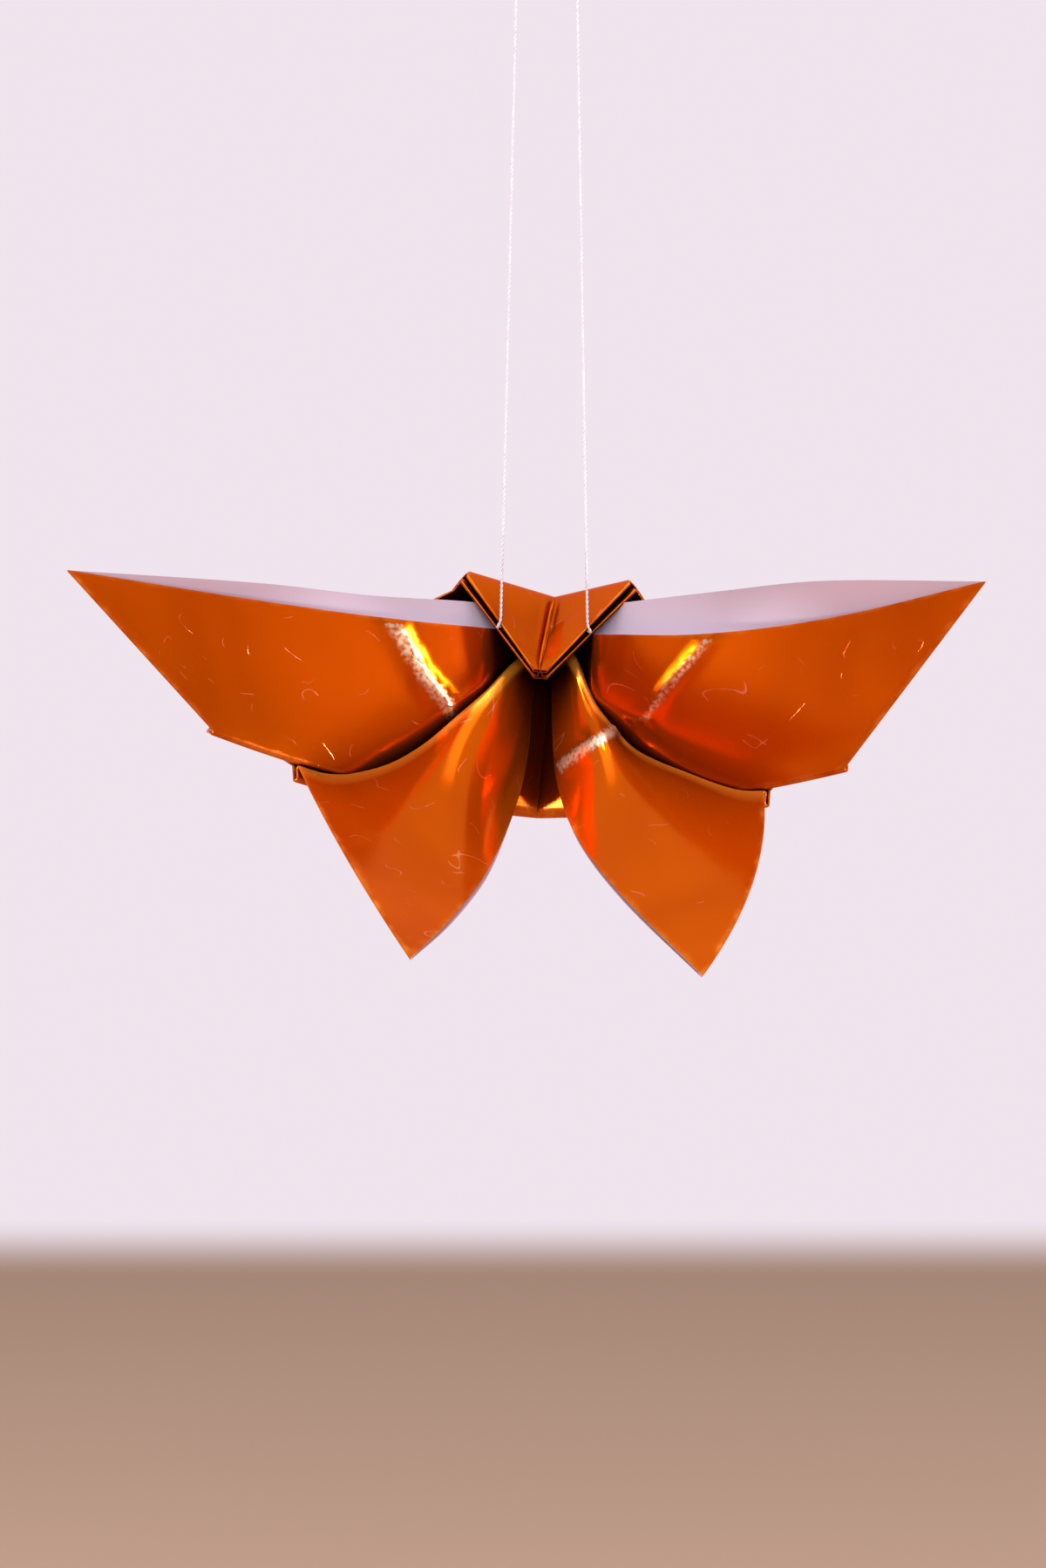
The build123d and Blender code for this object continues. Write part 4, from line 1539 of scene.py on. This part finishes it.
@dataclass(frozen=True)
class WhitePaper(Finish):
    """The white side of the paper and its cut edge.

    Attributes:
        worn: Colour of its wear, and how far it covers the paper.
        wears: Mark, scale and amount of that wear.
        painted_shade_reach: From and to which distance from the sheet's middle its white turns to a darker
            pink, a painted shade towards the wing tips, in millimetres.
        shade_and_tone_shares: Shares of that painted shade and of the tone in how white it is.
    """

    name: str = "white paper"
    # The deep colour is both the dark end of the tone and the painted shade towards the wing tips.
    deep: tuple = (0.47, 0.28, 0.34, 1.0)
    bright: tuple = (0.86, 0.71, 0.86, 1.0)
    metallic: float = 0.0
    roughness: tuple = (0.48, 0.62)
    coat: float = 0.12
    grain: tuple = (7.0, 0.05)
    relief: float = 0.02
    worn: tuple = ((0.86, 0.76, 0.82, 1.0), 0.6)
    wears: tuple = ("fold", 0.3, 0.8)
    painted_shade_reach: tuple = (74.0, 90.0)
    shade_and_tone_shares: tuple = (0.85, 0.15)

    def look(self, shader: Shader, effects: Effects, place: NodeSocket, grain: object) -> tuple:
        """Paint shade that turns the white a darker pink away from the sheet's middle, and add wear; see
        Finish.look.
        """
        middle = (SHEET_SIDE / 2, SHEET_SIDE / 2, 0.0)
        out = shader.add("ShaderNodeVectorMath", {0: place, 1: middle}, operation="DISTANCE").outputs["Value"]
        # Painted shade: the white darkens to pink towards the wing tips.
        painted_shade_weight, toned = self.shade_and_tone_shares
        unshaded_share = shader.times(shader.span(out, *self.painted_shade_reach, 1.0, 0.0), painted_shade_weight)
        colour = shader.mix(shader.plus(unshaded_share, shader.times(grain["Tone"], toned)), self.deep, self.bright)
        colour = self.cover(shader, self.wear(shader, effects, place, *self.wears), colour, *self.worn)
        return colour, self.rough(shader, grain), grain["Grain"]


@dataclass(frozen=True)
class Yarn(Finish):
    """The white cotton of the threads."""

    name: str = "white cotton yarn"
    deep: tuple = (0.78, 0.72, 0.84, 1.0)
    bright: tuple = (0.96, 0.93, 0.98, 1.0)
    metallic: float = 0.0
    roughness: tuple = (0.7, 0.85)
    coat: float = 0.0
    grain: tuple = (14000.0, 900.0)
    relief: float = 0.03
    more: tuple = (("Sheen Weight", 0.3),)

    def place(self, shader: Shader) -> NodeSocket:
        """Give each point's place on the thread, in metres."""
        return shader.add("ShaderNodeTexCoord").outputs["Object"]


@dataclass(frozen=True)
class Lamp:
    """A soft rectangular white lamp.

    Attributes:
        place: Where it stands, in metres.
        size: Its width and height.
        power: Its power in watts.
    """

    name: str
    place: tuple
    size: tuple
    power: float


@dataclass
class Studio:
    """The plain room that the butterfly hangs in, in metres.

    Attributes:
        camera_place: Where the camera stands.
        focal_length: Lens, in millimetres.
        picture_height: Long side of the picture on the sensor, in millimetres.
        aim: The point that the lamps face.
        wall: Linear colour of the wall behind.
        soft_white: Linear colour of the light from all sides.
        room_light: Strength of that light.
        floor: Linear colour of the floor.
        floor_height: Height of the floor.
        floor_reach: How far the floor reaches to each side, to the front and away.
        floor_fade: From and to which distance off its far end the floor fades into the wall.
    """

    camera_place: tuple = (-0.0032, -0.4876, -0.1114)
    focal_length: float = 83.4
    picture_height: float = 36.0
    aim: tuple = (-0.003, -0.01, -0.12)
    wall: tuple = (0.87, 0.775, 0.847, 1.0)
    soft_white: tuple = (1.0, 0.97, 0.99, 1.0)
    room_light: float = 0.48
    floor: tuple = (0.55, 0.36, 0.27, 1.0)
    floor_height: float = -0.255
    floor_reach: tuple = (1.6, 1.4, 0.72)
    floor_fade: tuple = (0.15, 0.005)
    lamps: tuple = (
        Lamp("lamp_left", (-0.41, -0.02, -0.196), (0.045, 0.06), 0.85),
        Lamp("lamp_right", (0.40, -0.14, -0.19), (0.045, 0.06), 0.85),
        Lamp("lamp_top", (-0.02, -0.20, 0.45), (0.06, 0.06), 0.6),
        Lamp("lamp_front", (0.0, -0.80, 0.12), (0.4, 0.4), 2.4),
        Lamp("lamp_above", (0.0, -0.30, 0.75), (0.8, 0.6), 3.5),
    )

    def build(self) -> None:
        """Set up the camera, the lamps, the floor and the wall behind."""
        scene = bpy.context.scene
        scene.view_settings.view_transform = "Standard"
        lens = bpy.data.cameras.new("camera")
        lens.sensor_fit = "VERTICAL"
        lens.sensor_height = self.picture_height
        lens.lens = self.focal_length
        lens.clip_start = 0.01
        camera = bpy.data.objects.new("camera", lens)
        camera.location = self.camera_place
        camera.rotation_euler = (pi / 2, 0.0, 0.0)
        scene.collection.objects.link(camera)
        scene.camera = camera
        for lamp in self.lamps:
            self.hang(lamp)
        self.light_room()
        self.lay_floor()

    def hang(self, lamp: Lamp) -> None:
        """Hang a lamp and face it to the butterfly.

        Args:
            lamp: The lamp.
        """
        light = bpy.data.lights.new(lamp.name, "AREA")
        light.shape = "RECTANGLE"
        light.size, light.size_y = lamp.size
        light.energy = lamp.power
        thing = bpy.data.objects.new(lamp.name, light)
        thing.location = lamp.place
        thing.rotation_euler = (Vector(self.aim) - Vector(lamp.place)).to_track_quat("-Z", "Y").to_euler()
        bpy.context.scene.collection.objects.link(thing)

    def light_room(self) -> None:
        """Give the room its even light, and the wall its colour where it is seen or mirrored."""
        world = bpy.data.worlds.new("room")
        bpy.context.scene.world = world
        world.use_nodes = True
        shader = Shader(world.node_tree)
        shader.tree.nodes.clear()
        rays = shader.add("ShaderNodeLightPath").outputs
        seen = shader.plus(rays["Is Camera Ray"], rays["Is Glossy Ray"])
        seen = shader.plus(seen, rays["Is Transmission Ray"])
        soft = shader.add("ShaderNodeBackground", {"Color": self.soft_white, "Strength": self.room_light})
        wall = shader.add("ShaderNodeBackground", {"Color": self.wall, "Strength": 1.0})
        self.blend(shader, seen, soft, wall, "ShaderNodeOutputWorld")

    def lay_floor(self) -> None:
        """Lay the plain floor, which fades into the wall at its far end."""
        half, near, far = self.floor_reach
        corners = [(-half, -near), (half, -near), (half, far), (-half, far)]
        mesh = bpy.data.meshes.new("floor")
        mesh.from_pydata([(x, y, self.floor_height) for x, y in corners], [], [(0, 1, 2, 3)])
        floor = bpy.data.objects.new("floor", mesh)
        bpy.context.scene.collection.objects.link(floor)
        material = bpy.data.materials.new("pale floor")
        material.use_nodes = True
        shader = Shader(material.node_tree)
        shader.tree.nodes.clear()
        place = shader.add("ShaderNodeNewGeometry").outputs["Position"]
        away = shader.add("ShaderNodeSeparateXYZ", {0: place}).outputs["Y"]
        fade = shader.span(away, *(far - gap for gap in self.floor_fade))
        laid = shader.add("ShaderNodeBsdfDiffuse", {"Color": self.floor})
        wall = shader.add("ShaderNodeEmission", {"Color": self.wall, "Strength": 1.0})
        self.blend(shader, fade, laid, wall, "ShaderNodeOutputMaterial")
        mesh.materials.append(material)

    def blend(self, shader: Shader, share: NodeSocket, first: Node, second: Node, output: str) -> None:
        """Blend two surfaces into an output of that kind."""
        both = shader.add("ShaderNodeMixShader", {0: share, 1: first.outputs[0], 2: second.outputs[0]})
        shader.add(output, {"Surface": both.outputs[0]})


def main() -> None:
    """Build the studio, the threads and the sheet in order, and report each piece."""
    logging.basicConfig(level=logging.INFO, format="%(message)s")
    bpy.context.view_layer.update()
    Studio().build()
    effects = Effects()
    yarn = Yarn().make(effects)
    folds, rows = Folds(), Rows()
    for name, wing, length in (("left", LEFT, 0.0880), ("right", RIGHT, 0.0886)):
        Thread("thread_yarn_" + name, "thread_" + name, Side(wing, folds, rows), length).build(yarn)
        log.info("built the %s thread", name)
    sheet = FoldedSheet(folds=folds, rows=rows).build(ColouredPaper().make(effects), WhitePaper().make(effects))
    log.info("built %s with %d faces", sheet.name, len(sheet.data.polygons))


if __name__ == "__main__":
    main()
